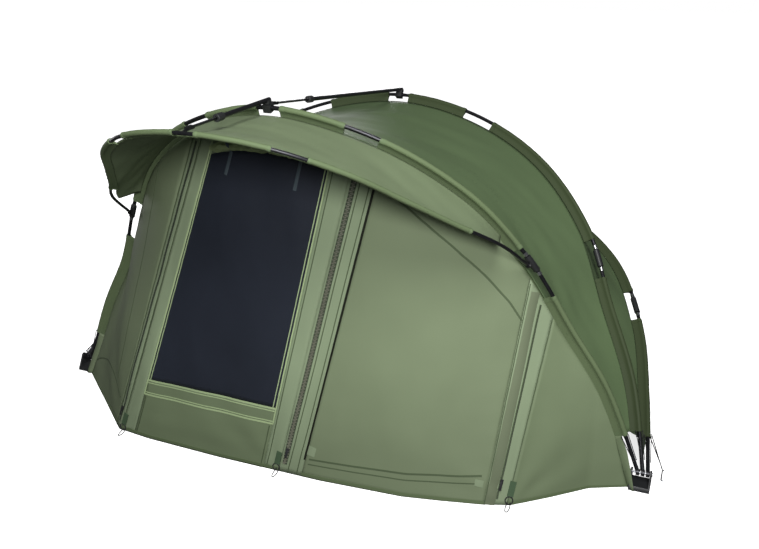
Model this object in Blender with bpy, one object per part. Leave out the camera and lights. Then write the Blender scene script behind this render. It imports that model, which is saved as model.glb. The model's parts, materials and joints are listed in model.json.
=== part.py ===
"""A one-person bivvy tent on a pram-hood frame.

Three ribs fan out from a foot block on each side, a visor hoop pivots on the front rib, and two telescopic
bars on the centre line keep the ribs apart. Metres, +Z up, the door faces -Y and the ribs turn about X.
"""

import math
from collections import namedtuple

import bmesh
import bpy
from mathutils import Matrix, Vector

# Overall layout
HALF_WIDTH = 1.35
HUB_HEIGHT = 0.06
CLOTH = 0.003
SEAM_GAP = 0.0015
TOUCH_GAP = 0.0004

# Ribs: the curves are shares of the half width and of the crown's reach, every 15 degrees from the foot
FRONT_REACH = 1.471
MIDDLE_REACH = 1.514
REAR_REACH = 1.632
VISOR_REACH = 0.976
FRONT_SHARES = ((0.882, 0.221), (0.7625, 0.397), (0.647, 0.594), (0.494, 0.785), (0.273, 0.933), (0.0, 1.0))
MIDDLE_SHARES = ((0.937, 0.224), (0.833, 0.429), (0.721, 0.643), (0.536, 0.828), (0.286, 0.951), (0.0, 1.0))
REAR_SHARES = ((0.975, 0.216), (0.916, 0.437), (0.793, 0.656), (0.576, 0.825), (0.307, 0.947), (0.0, 1.0))
VISOR_SHARES = ((0.931, 0.221), (0.789, 0.404), (0.66, 0.585), (0.51, 0.784), (0.285, 0.942), (0.0, 1.0))
FRONT_FOOT_LEAN = math.radians(1.0)
FRONT_CROWN_LEAN = math.radians(-17.2)
MIDDLE_LEAN = math.radians(33.0)
REAR_LEAN = math.radians(60.0)
VISOR_LEAN = math.radians(-54.9)
POLE_RADIUS = 0.008
VISOR_POLE_RADIUS = 0.0065
FIN_DEPTH = 0.045
VISOR_FIN_DEPTH = 0.026

# Places along a rib, as a share of the half turn from the right foot to the left foot
FOOT_TURN_SHARE = 0.038
VISOR_PIVOT_SHARE = 0.245
MIDDLE_KNUCKLE_SHARE = 0.214
REAR_KNUCKLE_SHARE = 0.191
FRONT_WINDOW_SHARES = ((0.2055, 0.2635), (0.411, 0.439), (0.49, 0.51))
MIDDLE_WINDOW_SHARES = ((0.194, 0.234), (0.394, 0.426), (0.489, 0.511))
REAR_WINDOW_SHARES = ((0.174, 0.208),)
VISOR_WINDOW_SHARES = ((0.376, 0.412), (0.488, 0.512))
VISOR_SLEEVE_SHARE = 0.138
WINDOW_DEPTH_SHARE = 0.8
SLEEVE_FIT = 0.0009

# Foot blocks, pins and pole ends
EYE_PITCH = 0.019
EYE_WIDTH = 0.014
EYE_RADIUS = 0.013
EYE_WALL = 0.0085
PIN_RADIUS = 0.004
PIN_FIT = 0.0005
PIN_HEAD_RADIUS = 0.008
PIN_HEAD = 0.003
CHEEK = 0.007
INNER_CHEEK_ROOM = 0.013
BLOCK_LENGTH = 0.09
BLOCK_BASE = 0.018
BLOCK_TOE = 0.009
BLOCK_CROWN = 0.016

# Knuckles, clamps and the visor's pivots
POLE_GAP_SHARE = 0.001
STEM_SHARE = 0.8
KNUCKLE_RADIUS = 0.013
KNUCKLE_HALF_SHARE = 0.0085
KNUCKLE_FIT = 0.0012
VISOR_FORWARD = 0.025
VISOR_EYE_RADIUS = 0.01
VISOR_EYE_WIDTH = 0.009
EAR_RADIUS = 0.0075
EAR_PIN_HEAD_RADIUS = 0.0058
CLAMP_WIDTH = 0.03
CLAMP_WALL = 0.0045
CLAMP_FIT = 0.0019
LUG_WIDTH = 0.006
LUG_RADIUS = 0.007
FORK_TINE = 0.003
FORK_GAP = 0.0006
FORK_PIN_RADIUS = 0.0025
FORK_PIN_FIT = 0.0005
FORK_REACH = 0.022
FRONT_LUG_REACH = 0.034
VISOR_LUG_REACH = 0.023
VISOR_LUG_RISE = 0.01
CRADLE_WALL = 0.004
CRADLE_LENGTH = 0.02
CRADLE_FIT = 0.0008

# Telescopic bars
ROD_RADIUS = 0.0045
TUBE_RADIUS = 0.008
TUBE_BORE = 0.0052
COLLAR_RADIUS = 0.0135
COLLAR_LENGTH = 0.036
COLLAR_FIT = 0.0005
COLLAR_GROOVE = 0.0014
FRONT_BAR_ROD = 0.155
FRONT_BAR_OVERLAP = 0.12
REAR_BAR_ROD = 0.265
REAR_BAR_OVERLAP = 0.25
BAR_END_MARGIN = 0.018

# Canopy
CANOPY_INSET = 0.036
CANOPY_SET_BACK = 0.0066
CANOPY_SAG_SHARE = 0.05
REAR_SAG_SHARE = 0.025
VISOR_SAG_SHARE = 0.02
VISOR_PANEL_START_SHARE = 0.075
VISOR_PANEL_FORWARD = 0.014
VISOR_PANEL_INSET = 0.024
REAR_GROUND_HALF = 1.335
REAR_GROUND_REACH = 1.68
REAR_CORNER_SHARE = 0.667
REAR_HEM_START_SHARE = 0.005

# Front wall: ground line as shares of the half width and of its reach, then the seams that run up it
FRONT_GROUND_REACH = 0.455
FRONT_GROUND_SHARES = ((-0.985, 0.05), (-0.615, 0.945), (-0.489, 0.982), (-0.222, 1.0), (0.119, 0.985),
                       (0.37, 0.93), (0.481, 0.86), (0.593, 0.78), (0.667, 0.7), (0.763, 0.46), (0.859, 0.2),
                       (0.985, 0.02))
WALL_INSET = 0.047
WALL_END_SHARE = 0.039
Seam = namedtuple("Seam", "foot_share head_share")
LEFT_END = Seam(-0.962, -0.962)
LEFT_ZIP_OUTER = Seam(-0.641, -0.263)
LEFT_ZIP_INNER = Seam(-0.604, -0.222)
MESH_LEFT = Seam(-0.552, -0.174)
MESH_RIGHT = Seam(-0.068, 0.178)
MIDDLE_ZIP = Seam(-0.018, 0.232)
FLAP_EDGE = Seam(0.058, 0.294)
RIGHT_ZIP_INNER = Seam(0.598, 0.65)
RIGHT_ZIP_OUTER = Seam(0.662, 0.714)
RIGHT_END = Seam(0.962, 0.962)
KICK_SHARE = 0.205
MESH_TOP_SHARE = 0.905
ZIP_COIL_WIDTH = 0.009
ZIP_COIL_RISE = 0.0022
COIL_END_SHARE = 0.03
MIDDLE_COIL_SHARE = 0.2
COIL_ROOT_SHARE = 0.17
ROLL_RADIUS = 0.026
ROLL_SQUASH_SHARE = 0.62
ROLL_HEIGHT_SHARE = 0.935
ROLL_CLEARANCE = 0.004
ROLL_END_SHARE = 0.03
ROLL_PUCKER_SHARE = 0.14
ROLL_PUCKERS = 6
ROLL_STEPS = 10

# Zip sliders
SLIDER_WIDTH = 0.012
SLIDER_LENGTH = 0.02
SLIDER_HEIGHT = 0.005
SLIDER_CLEARANCE = 0.0026
SLIDER_REST = 0.07
PULL_WIDTH = 0.009
PULL_LENGTH = 0.034
PULL_THICKNESS = 0.002

# Peg points
STRAP_WIDTH = 0.024
STRAP_LENGTH = 0.06
STRAP_THICKNESS = 0.0024
RING_RADIUS = 0.015
RING_WIRE = 0.0024
RING_SIDES = 6
PEG_SHARES = (-0.6, -0.026, 0.662)
PEG_SPAN_SHARE = 0.01
REAR_PEG_TURN_SHARE = 0.107
HOOK_WIRE = 0.003
HOOK_X = 1.419
HOOK_Y = 0.064
HOOK_HEIGHT = 0.05
HOOK_FOOT = 0.026
ELASTIC_RADIUS = 0.002
ELASTIC_OVERLAP_SHARE = 0.004
ELASTIC_STEPS = 14

# Fineness of the curves
RIB_STATIONS = 48
NEAR_STATION_SHARE = 0.2
CLOTH_STEPS = 30
CLOTH_ROWS = 5
WALL_ROWS = 6
POLE_SIDES = 8
SMALL_SIDES = 12
TURN_STEP_SHARE = 0.001
HALVINGS = 30
HALF = 0.5
OVERRUN = 0.01
SMOOTH_ANGLE = math.radians(35.0)

Body = namedtuple("Body", "holder origin")
ZipLine = namedtuple("ZipLine", "start along side out length")
Rib = namedtuple("Rib", "foot_x guides foot_lean crown_lean pivot pole fin")


def make_rib(foot_x, scale, reach, shares, leans, pivot, pole, fin):
    guides = [(foot_x, 0.0)] + [(across * scale, up * reach) for across, up in shares]
    return Rib(foot_x, guides, leans[0], leans[1], pivot, pole, fin)


def smooth_between(before, start, end, after, along):
    """A Catmull-Rom curve from start to end."""
    square = along * along
    cube = square * along
    return HALF * (2 * start + (end - before) * along + (2 * before - 5 * start + 4 * end - after) * square
                   + (3 * start - before - 3 * end + after) * cube)


def flat_point(rib, turn):
    """(across, out) of the rib in its own plane. turn runs from 0 at the right foot to 1 at the left foot."""
    guides = rib.guides
    last = len(guides) - 1
    side = 1 if turn <= HALF else -1
    place = (turn if side > 0 else 1 - turn) * 2 * last
    index = min(int(place), last - 1)
    start, end = guides[index], guides[index + 1]
    before = guides[index - 1] if index else tuple(2 * a - b for a, b in zip(start, end))
    after = guides[index + 2] if index + 2 <= last else (-guides[last - 1][0], guides[last - 1][1])
    across, out = (smooth_between(*values, place - index) for values in zip(before, start, end, after))
    return side * across, out


def smooth_point(rib, turn, inset, behind):
    """A point on the rib's curve, moved inwards in its plane by inset and backwards out of it by behind."""
    across, out = flat_point(rib, turn)
    low = flat_point(rib, max(turn - TURN_STEP_SHARE, 0.0))
    high = flat_point(rib, min(turn + TURN_STEP_SHARE, 1.0))
    along = Vector((high[0] - low[0], high[1] - low[1])).normalized()
    across -= along.y * inset
    out += along.x * inset
    rise = math.sin(math.atan2(max(out, 0.0), abs(across)))
    lean = rib.foot_lean + (rib.crown_lean - rib.foot_lean) * rise * rise
    return rib.pivot + Vector((across,
                               out * math.sin(lean) + behind * math.cos(lean),
                               out * math.cos(lean) - behind * math.sin(lean)))


def rib_point(rib, turn, inset=0.0, behind=0.0):
    """A point on the rib as its pieces share it: straight between stations of the smooth curve."""
    place = turn * RIB_STATIONS
    index = min(int(place), RIB_STATIONS - 1)
    start = smooth_point(rib, index / RIB_STATIONS, inset, behind)
    end = smooth_point(rib, (index + 1) / RIB_STATIONS, inset, behind)
    return start.lerp(end, place - index)


def stations(start, end):
    """The two ends of a piece and the rib's stations between them."""
    near = NEAR_STATION_SHARE / RIB_STATIONS
    inner = [index / RIB_STATIONS for index in range(1, RIB_STATIONS)]
    return [start] + [turn for turn in inner if start + near < turn < end - near] + [end]


def rib_axes(rib, turn):
    """Unit vectors along the pole, outwards and backwards at a turn."""
    centre = smooth_point(rib, turn, 0.0, 0.0)
    back = (smooth_point(rib, turn, 0.0, CLOTH) - centre).normalized()
    after = smooth_point(rib, min(turn + TURN_STEP_SHARE, 1.0), 0.0, 0.0)
    ahead = after - smooth_point(rib, max(turn - TURN_STEP_SHARE, 0.0), 0.0, 0.0)
    ahead = (ahead - back * ahead.dot(back)).normalized()
    return ahead, back.cross(ahead), back


def spread(start, end, steps):
    return [start + (end - start) * step / steps for step in range(steps + 1)]


def material(name, colour, roughness, metallic=0.0):
    """The finish of one kind of piece."""
    made = bpy.data.materials.get(name)
    if made is None:
        made = bpy.data.materials.new(name)
        made.use_nodes = True
        made.diffuse_color = (*colour, 1.0)
        shader = made.node_tree.nodes["Principled BSDF"]
        shader.inputs["Base Color"].default_value = (*colour, 1.0)
        shader.inputs["Roughness"].default_value = roughness
        shader.inputs["Metallic"].default_value = metallic
    return made


def canopy_cloth():
    return material("canopy_cloth", (0.16, 0.22, 0.12), 0.75)


def sleeve_cloth():
    return material("sleeve_cloth", (0.05, 0.10, 0.05), 0.8)


def zip_tape():
    return material("zip_tape", (0.20, 0.26, 0.16), 0.8)


def mesh_cloth():
    return material("mesh_cloth", (0.02, 0.025, 0.035), 0.9)


def pole_metal():
    return material("pole_metal", (0.03, 0.03, 0.032), 0.35, 0.6)


def bar_metal():
    return material("bar_metal", (0.06, 0.06, 0.065), 0.3, 0.8)


def black_plastic():
    return material("black_plastic", (0.015, 0.015, 0.016), 0.5)


def webbing():
    return material("webbing", (0.03, 0.06, 0.035), 0.9)


def ring_steel():
    return material("ring_steel", (0.35, 0.35, 0.36), 0.3, 1.0)


def place(mesh_data, name, finish, body, smooth=True):
    """Links the mesh as an object whose origin is on its body's joint, keeping its place in the world."""
    thing = bpy.data.objects.new(name, mesh_data)
    bpy.context.scene.collection.objects.link(thing)
    mesh_data.materials.append(finish)
    mesh_data.transform(Matrix.Translation(-body.origin))
    thing.parent = body.holder
    if smooth:
        mesh_data.shade_smooth()
        mesh_data.set_sharp_from_angle(angle=SMOOTH_ANGLE)
    return thing


def finish_mesh(shape, name):
    """Turns the faces outwards and writes the mesh data."""
    bmesh.ops.recalc_face_normals(shape, faces=shape.faces)
    data = bpy.data.meshes.new(name)
    shape.to_mesh(data)
    shape.free()
    return data


def sweep(rings, name, hole_rings=None, closing=None):
    """Skins one ring of points after another and caps both ends, with a bore if there are hole rings."""
    shape = bmesh.new()
    outer = [[shape.verts.new(point) for point in ring] for ring in rings]
    skins = [outer]
    if hole_rings is not None:
        skins.append([[shape.verts.new(point) for point in ring] for ring in hole_rings])
    for skin in skins:
        for first, second in zip(skin, skin[1:]):
            count = len(first)
            for index in range(count):
                after = (index + 1) % count
                shape.faces.new((first[index], first[after], second[after], second[index]))
    for end in (0, -1):
        if hole_rings is None:
            shape.faces.new(outer[end])
        else:
            closing(shape, outer[end], skins[1][end])
    return finish_mesh(shape, name)


def circle(centre, first, second, radius, sides):
    """Points on a circle round centre, starting at first."""
    return [centre + first * (radius * math.cos(turn)) + second * (radius * math.sin(turn))
            for turn in spread(0.0, 2 * math.pi, sides)[:-1]]


def ring_cap(shape, outer, inner):
    """Closes the end of a plain tube between two equal rings."""
    count = len(outer)
    for index in range(count):
        after = (index + 1) % count
        shape.faces.new((outer[index], outer[after], inner[after], inner[index]))


def pole_mesh(rib, start, end, name, radius=None, bore=None, sides=POLE_SIDES):
    """A round bar, or a tube where there is a bore, that follows the rib between two turns."""
    radius = radius or rib.pole
    rings, holes = [], []
    for turn in stations(start, end):
        ahead, out, back = rib_axes(rib, turn)
        centre = rib_point(rib, turn)
        rings.append(circle(centre, out, back, radius, sides))
        if bore:
            holes.append(circle(centre, out, back, bore, sides))
    return sweep(rings, name, holes if bore else None, ring_cap)


def rod_mesh(start, end, radius, name, sides=SMALL_SIDES, bore=None):
    """A straight round bar or tube between two points."""
    along = (end - start).normalized()
    side = along.orthogonal().normalized()
    other = along.cross(side)
    rings = [circle(point, side, other, radius, sides) for point in (start, end)]
    holes = [circle(point, side, other, bore, sides) for point in (start, end)] if bore else None
    return sweep(rings, name, holes, ring_cap)


def block_mesh(centre, sizes, name, axes=None):
    """A box of full sizes along three axes."""
    across, deep, up = axes or (Vector((1, 0, 0)), Vector((0, 1, 0)), Vector((0, 0, 1)))
    shape = bmesh.new()
    bmesh.ops.create_cube(shape, size=1.0)
    frame = Matrix((across * sizes[0], deep * sizes[1], up * sizes[2])).transposed().to_4x4()
    bmesh.ops.transform(shape, matrix=Matrix.Translation(centre) @ frame, verts=shape.verts)
    return finish_mesh(shape, name)


def outline_holder(thing):
    """The holder that carries the whole tent."""
    while thing.parent:
        thing = thing.parent
    return thing


def add_shape(body, data, operation):
    """Joins a second shape to the body, or cuts it out."""
    tool = bpy.data.objects.new(f"{body.name}_{operation.lower()}", data)
    bpy.context.scene.collection.objects.link(tool)
    tool.parent = outline_holder(body)
    tool.hide_render = True
    tool.display_type = "WIRE"
    change = body.modifiers.new(operation.lower(), "BOOLEAN")
    change.operation = operation
    change.solver = "EXACT"
    change.object = tool


def keyhole_ring(centre, out, back, outer, inner, depth):
    """The sleeve's section: a pocket round the pole on a two-layer blade that reaches inwards."""
    angles = spread(-math.pi, math.pi, POLE_SIDES)[1:]
    hole = [centre + out * (inner * math.cos(a)) + back * (inner * math.sin(a)) for a in angles]
    pocket = [centre + out * (outer * math.cos(a)) + back * (outer * math.sin(a)) for a in angles[:-1]]
    half = CLOTH * HALF
    blade = [centre - out * depth + back * half, centre - out * depth - back * half]
    return pocket + blade, hole


def keyhole_cap(shape, outer, inner):
    """Closes the end of a sleeve between its pocket, its blade and the pole's bore."""
    last = len(inner) - 2
    for index in range(last):
        shape.faces.new((outer[index], outer[index + 1], inner[index + 1], inner[index]))
    foot = [outer[last + step] for step in range(3)]
    shape.faces.new((*foot, outer[0], inner[0], inner[last + 1], inner[last]))


def sleeve(name, rib, start, windows, body):
    """A raised fin sewn along the rib, with its pole in the outer edge, cut away at the windows."""
    inner = rib.pole + SLEEVE_FIT
    outer = inner + CLOTH * HALF
    rings, holes = [], []
    for turn in stations(start, 1 - start):
        ahead, out, back = rib_axes(rib, turn)
        ring, hole = keyhole_ring(rib_point(rib, turn), out, back, outer, inner, rib.fin)
        rings.append(ring)
        holes.append(hole)
    thing = place(sweep(rings, name, holes, keyhole_cap), name, sleeve_cloth(), body)
    margin = rib.fin * WINDOW_DEPTH_SHARE
    for first, second in windows:
        for low, high in [(first, second)] if second > HALF else [(first, second), (1 - second, 1 - first)]:
            middle = (low + high) * HALF
            ahead, out, back = rib_axes(rib, middle)
            length = (rib_point(rib, high) - rib_point(rib, low)).length
            height = margin + outer + OVERRUN
            centre = rib_point(rib, middle) + out * (height * HALF - margin)
            data = block_mesh(centre, (length, 8 * outer, height), name, (ahead, back, out))
            add_shape(thing, data, "DIFFERENCE")
    return thing


def cloth_sheet(name, rows, finish, body, thickness=CLOTH, offset=0.0):
    """A sheet of cloth from a grid of points, given its thickness by Solidify."""
    shape = bmesh.new()
    grid = [[shape.verts.new(point) for point in row] for row in rows]
    for first, second in zip(grid, grid[1:]):
        for index in range(len(first) - 1):
            shape.faces.new((first[index], first[index + 1], second[index + 1], second[index]))
    thing = place(finish_mesh(shape, name), name, finish, body)
    thick = thing.modifiers.new("thickness", "SOLIDIFY")
    thick.thickness = thickness
    thick.offset = offset
    return thing


def sagging(first, second, along, centre, sag):
    """A point between two edges, pulled towards the middle of the tent as taut cloth is."""
    point = first.lerp(second, along)
    inward = (centre - point).normalized()
    return point + inward * (sag * 4 * along * (1 - along) * (first - second).length)


def canopy_panel(name, front, back, body):
    """The cloth between two ribs."""
    middle = Vector((0.0, 0.0, HUB_HEIGHT))
    rows = []
    for turn in spread(FOOT_TURN_SHARE, 1 - FOOT_TURN_SHARE, CLOTH_STEPS):
        first = rib_point(front, turn, CANOPY_INSET, CANOPY_SET_BACK)
        second = rib_point(back, turn, CANOPY_INSET, -CANOPY_SET_BACK)
        rows.append([sagging(first, second, along, middle, CANOPY_SAG_SHARE) for along in
                     spread(0.0, 1.0, CLOTH_ROWS)])
    return cloth_sheet(name, rows, canopy_cloth(), body)


def rear_ground_point(turn):
    """The rear wall's hem on the ground, a rounded box in plan."""
    angle = math.pi * turn
    across = math.copysign(abs(math.cos(angle)) ** REAR_CORNER_SHARE, math.cos(angle))
    back = abs(math.sin(angle)) ** REAR_CORNER_SHARE
    return Vector((REAR_GROUND_HALF * across, REAR_GROUND_REACH * back, 0.0))


def rear_wall(rear, body):
    """The cloth from the rear rib down to the ground."""
    rows = []
    middle = Vector((0.0, REAR_GROUND_REACH * HALF, HUB_HEIGHT))
    tops = spread(FOOT_TURN_SHARE, 1 - FOOT_TURN_SHARE, CLOTH_STEPS)
    hems = spread(REAR_HEM_START_SHARE, 1 - REAR_HEM_START_SHARE, CLOTH_STEPS)
    for top_turn, hem_turn in zip(tops, hems):
        top = rib_point(rear, top_turn, CANOPY_INSET, CANOPY_SET_BACK)
        hem = rear_ground_point(hem_turn)
        rows.append([sagging(top, hem, along, middle, REAR_SAG_SHARE) for along in
                     spread(0.0, 1.0, CLOTH_ROWS)])
    thing = cloth_sheet("rear_wall", rows, canopy_cloth(), body)
    trim_to_ground(thing)
    return thing


def trim_to_ground(thing):
    """Cuts the hem off level with the ground."""
    sizes = (4 * HALF_WIDTH, 4 * HALF_WIDTH, HALF_WIDTH)
    data = block_mesh(Vector((0.0, 0.0, -HALF * HALF_WIDTH)), sizes, thing.name)
    add_shape(thing, data, "DIFFERENCE")


def visor_panel(visor, front, body):
    """The cloth roof between the visor hoop and the front rib."""
    rows = []
    middle = visor.pivot - Vector((visor.pivot.x, 0.0, VISOR_REACH))
    for turn in spread(VISOR_PANEL_START_SHARE, 1 - VISOR_PANEL_START_SHARE, CLOTH_STEPS):
        matched = VISOR_PIVOT_SHARE + (1 - 2 * VISOR_PIVOT_SHARE) * turn
        first = rib_point(visor, turn, visor.fin + SEAM_GAP, CLOTH)
        second = rib_point(front, matched, VISOR_PANEL_INSET, -VISOR_PANEL_FORWARD)
        rows.append([sagging(first, second, along, middle, VISOR_SAG_SHARE) for along in
                     spread(0.0, 1.0, CLOTH_ROWS)])
    return cloth_sheet("visor_panel", rows, canopy_cloth(), body)


def front_ground_point(share):
    """The front wall's hem at a share of the half width."""
    points = FRONT_GROUND_SHARES
    for first, second in zip(points, points[1:]):
        if share <= second[0]:
            break
    along = (share - first[0]) / (second[0] - first[0])
    reach = first[1] + (second[1] - first[1]) * along
    return Vector((share * HALF_WIDTH, -reach * FRONT_GROUND_REACH, 0.0))


def turn_at(rib, across, inset):
    """The turn at which the rib's inner edge stands at this distance from the centre line."""
    low, high = WALL_END_SHARE * HALF, 1 - WALL_END_SHARE * HALF
    for _ in range(HALVINGS):
        middle = (low + high) * HALF
        if rib_point(rib, middle, inset).x > across:
            low = middle
        else:
            high = middle
    return low


def seam_turn(front, seam):
    turn = turn_at(front, seam.head_share * HALF_WIDTH, WALL_INSET)
    return min(max(turn, WALL_END_SHARE), 1 - WALL_END_SHARE)


def wall_point(front, left, right, across, up):
    """A point of the front wall between two straight seams, across and up as shares."""
    share = left.foot_share + (right.foot_share - left.foot_share) * across
    turn = seam_turn(front, left) + (seam_turn(front, right) - seam_turn(front, left)) * across
    foot = front_ground_point(share)
    return foot.lerp(rib_point(front, turn, WALL_INSET, -CLOTH), up)


def wall_panel(name, front, left, right, body, finish, low=0.0, high=1.0, columns=4, rows=WALL_ROWS,
               thickness=CLOTH):
    """One panel of the front wall, set in from its seams by the seam gap."""
    width = (wall_point(front, left, right, 1.0, HALF) - wall_point(front, left, right, 0.0, HALF)).length
    trim = SEAM_GAP * HALF / width
    tall = wall_point(front, left, right, HALF, 1.0).z
    gap = SEAM_GAP * HALF / tall
    bottom = low + gap if low else 0.0
    top = high - gap
    grid = [[wall_point(front, left, right, across, up) for across in spread(trim, 1 - trim, columns)]
            for up in spread(bottom, top, rows)]
    thing = cloth_sheet(name, grid, finish, body, thickness)
    if not low:
        trim_to_ground(thing)
    return thing


def zip_coil(tape, front, left, right, across):
    """The zip's coil, a low bead that stands out of the tape."""
    start = wall_point(front, left, right, across, COIL_END_SHARE)
    end = wall_point(front, left, right, across, 1 - COIL_END_SHARE)
    along = (end - start).normalized()
    wide = wall_point(front, left, right, 1.0, HALF) - wall_point(front, left, right, 0.0, HALF)
    side = (wide - along * wide.dot(along)).normalized()
    out = side.cross(along)
    lift = CLOTH * HALF + ZIP_COIL_RISE
    length = (end - start).length
    root = CLOTH * COIL_ROOT_SHARE
    centre = (start + end) * HALF + out * ((lift - root) * HALF)
    data = block_mesh(centre, (ZIP_COIL_WIDTH, lift + root, length), tape.name, (side, out, along))
    add_shape(tape, data, "UNION")
    return ZipLine(start, along, side, out, length)


def front_wall(front, body):
    """The front wall in its panels, tapes and mesh. Returns the lines that the zips run on."""
    cloth, tape = canopy_cloth(), zip_tape()
    wall_panel("left_wing_panel", front, LEFT_END, LEFT_ZIP_OUTER, body, cloth, columns=7)
    left = wall_panel("left_zip_tape", front, LEFT_ZIP_OUTER, LEFT_ZIP_INNER, body, tape, columns=1)
    wall_panel("door_left_band", front, LEFT_ZIP_INNER, MESH_LEFT, body, tape, columns=1)
    wall_panel("door_kick_panel", front, MESH_LEFT, MESH_RIGHT, body, cloth, 0.0, KICK_SHARE, columns=6,
               rows=2)
    wall_panel("door_mesh_window", front, MESH_LEFT, MESH_RIGHT, body, mesh_cloth(), KICK_SHARE,
               MESH_TOP_SHARE, columns=6)
    wall_panel("door_head_band", front, MESH_LEFT, MESH_RIGHT, body, cloth, MESH_TOP_SHARE, columns=6,
               rows=1)
    wall_panel("door_right_band", front, MESH_RIGHT, MIDDLE_ZIP, body, tape, columns=1)
    middle = wall_panel("middle_zip_tape", front, MIDDLE_ZIP, FLAP_EDGE, body, tape, columns=2)
    wall_panel("right_window_panel", front, FLAP_EDGE, RIGHT_ZIP_INNER, body, cloth, columns=8)
    right = wall_panel("right_zip_tape", front, RIGHT_ZIP_INNER, RIGHT_ZIP_OUTER, body, tape, columns=2)
    wall_panel("right_wing_panel", front, RIGHT_ZIP_OUTER, RIGHT_END, body, cloth, columns=6)
    return {
        "left": zip_coil(left, front, LEFT_ZIP_OUTER, LEFT_ZIP_INNER, HALF),
        "middle": zip_coil(middle, front, MIDDLE_ZIP, FLAP_EDGE, MIDDLE_COIL_SHARE),
        "right": zip_coil(right, front, RIGHT_ZIP_INNER, RIGHT_ZIP_OUTER, HALF),
    }


def zip_slider(name, line, body):
    """A slider on its coil, with its pull hanging down the tape."""
    side, out, along = line.side, line.out, line.along
    rest = line.start + along * SLIDER_REST
    lift = CLOTH * HALF + ZIP_COIL_RISE + SLIDER_CLEARANCE + SLIDER_HEIGHT * HALF
    centre = rest + out * lift
    data = block_mesh(centre, (SLIDER_WIDTH, SLIDER_HEIGHT, SLIDER_LENGTH), name, (side, out, along))
    slider = place(data, name, black_plastic(), joint_body(name, centre, body), smooth=False)
    pull = centre + out * (SLIDER_HEIGHT * HALF) - along * (PULL_LENGTH * HALF)
    sizes = (PULL_WIDTH, PULL_THICKNESS, PULL_LENGTH)
    add_shape(slider, block_mesh(pull, sizes, name, (side, out, along)), "UNION")
    return slider


def joint_body(name, location, parent):
    """A body's holder, an empty on its joint axis or, for the whole tent, at the hubs."""
    holder = bpy.data.objects.new(f"{name}_axis", None)
    bpy.context.scene.collection.objects.link(holder)
    holder.location = location - parent.origin
    holder.parent = parent.holder
    return Body(holder, location)


def cover_roll(front, body):
    """The window's cover, rolled up and bunched above the mesh."""
    rings = []
    for across in spread(ROLL_END_SHARE, 1 - ROLL_END_SHARE, ROLL_STEPS):
        centre = wall_point(front, MESH_LEFT, MESH_RIGHT, across, ROLL_HEIGHT_SHARE)
        pucker = ROLL_PUCKER_SHARE * (math.cos(across * ROLL_PUCKERS * math.pi) - 1)
        swell = ROLL_RADIUS * (1 + pucker)
        depth = swell * ROLL_SQUASH_SHARE
        centre.y -= ROLL_RADIUS * ROLL_SQUASH_SHARE + CLOTH + ROLL_CLEARANCE
        rings.append([centre + Vector((0, depth * math.cos(angle), swell * math.sin(angle)))
                      for angle in spread(0.0, 2 * math.pi, POLE_SIDES)[:-1]])
    return place(sweep(rings, "door_cover_roll"), "door_cover_roll", canopy_cloth(), body)


def knuckle(name, rib, turn, body):
    """A moulded socket over the joint of two poles."""
    half = KNUCKLE_HALF_SHARE
    bore = rib.pole + KNUCKLE_FIT
    data = pole_mesh(rib, turn - half, turn + half, name, KNUCKLE_RADIUS, bore, SMALL_SIDES)
    return place(data, name, black_plastic(), body)


def disc_mesh(centre, width, radius, name):
    """A round disc with its axis along X."""
    half = Vector((width * HALF, 0, 0))
    return rod_mesh(centre - half, centre + half, radius, name)


def pole_start(rib, out):
    """The turn at which the rib is this far from its foot's pin."""
    return out / rib.guides[1][1] * HALF / (len(rib.guides) - 1)


def leg(name, rib, side, knuckle_turn, body):
    """The lower pole, with the flattened eye that turns on the foot block's pin."""
    ends = (pole_start(rib, EYE_WALL), knuckle_turn - POLE_GAP_SHARE)
    if side < 0:
        ends = (1 - ends[1], 1 - ends[0])
    eye = Vector((side * rib.foot_x, rib.pivot.y, rib.pivot.z))
    thing = place(disc_mesh(eye, EYE_WIDTH, EYE_RADIUS, name), name, pole_metal(), body)
    add_shape(thing, pole_mesh(rib, ends[0], ends[1], name), "UNION")
    add_shape(thing, disc_mesh(eye, 2 * EYE_WIDTH, PIN_RADIUS + PIN_FIT, name), "DIFFERENCE")
    return thing


def crown(name, rib, knuckle_turn, body):
    """The upper pole, one arch from knuckle to knuckle."""
    start = knuckle_turn + POLE_GAP_SHARE
    return place(pole_mesh(rib, start, 1 - start, name), name, pole_metal(), body)


def frame_rib(label, rib, knuckle_turn, windows, body):
    """The poles, knuckles and sleeve of one rib. Returns its two knuckles."""
    knuckles = {}
    for word, side in (("right", 1), ("left", -1)):
        leg(f"{label}_leg_{word}", rib, side, knuckle_turn, body)
        turn = knuckle_turn if side > 0 else 1 - knuckle_turn
        knuckles[side] = knuckle(f"{label}_knuckle_{word}", rib, turn, body)
    crown(f"{label}_crown_pole", rib, knuckle_turn, body)
    sleeve(f"{label}_sleeve", rib, FOOT_TURN_SHARE, windows, body)
    return knuckles


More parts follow.
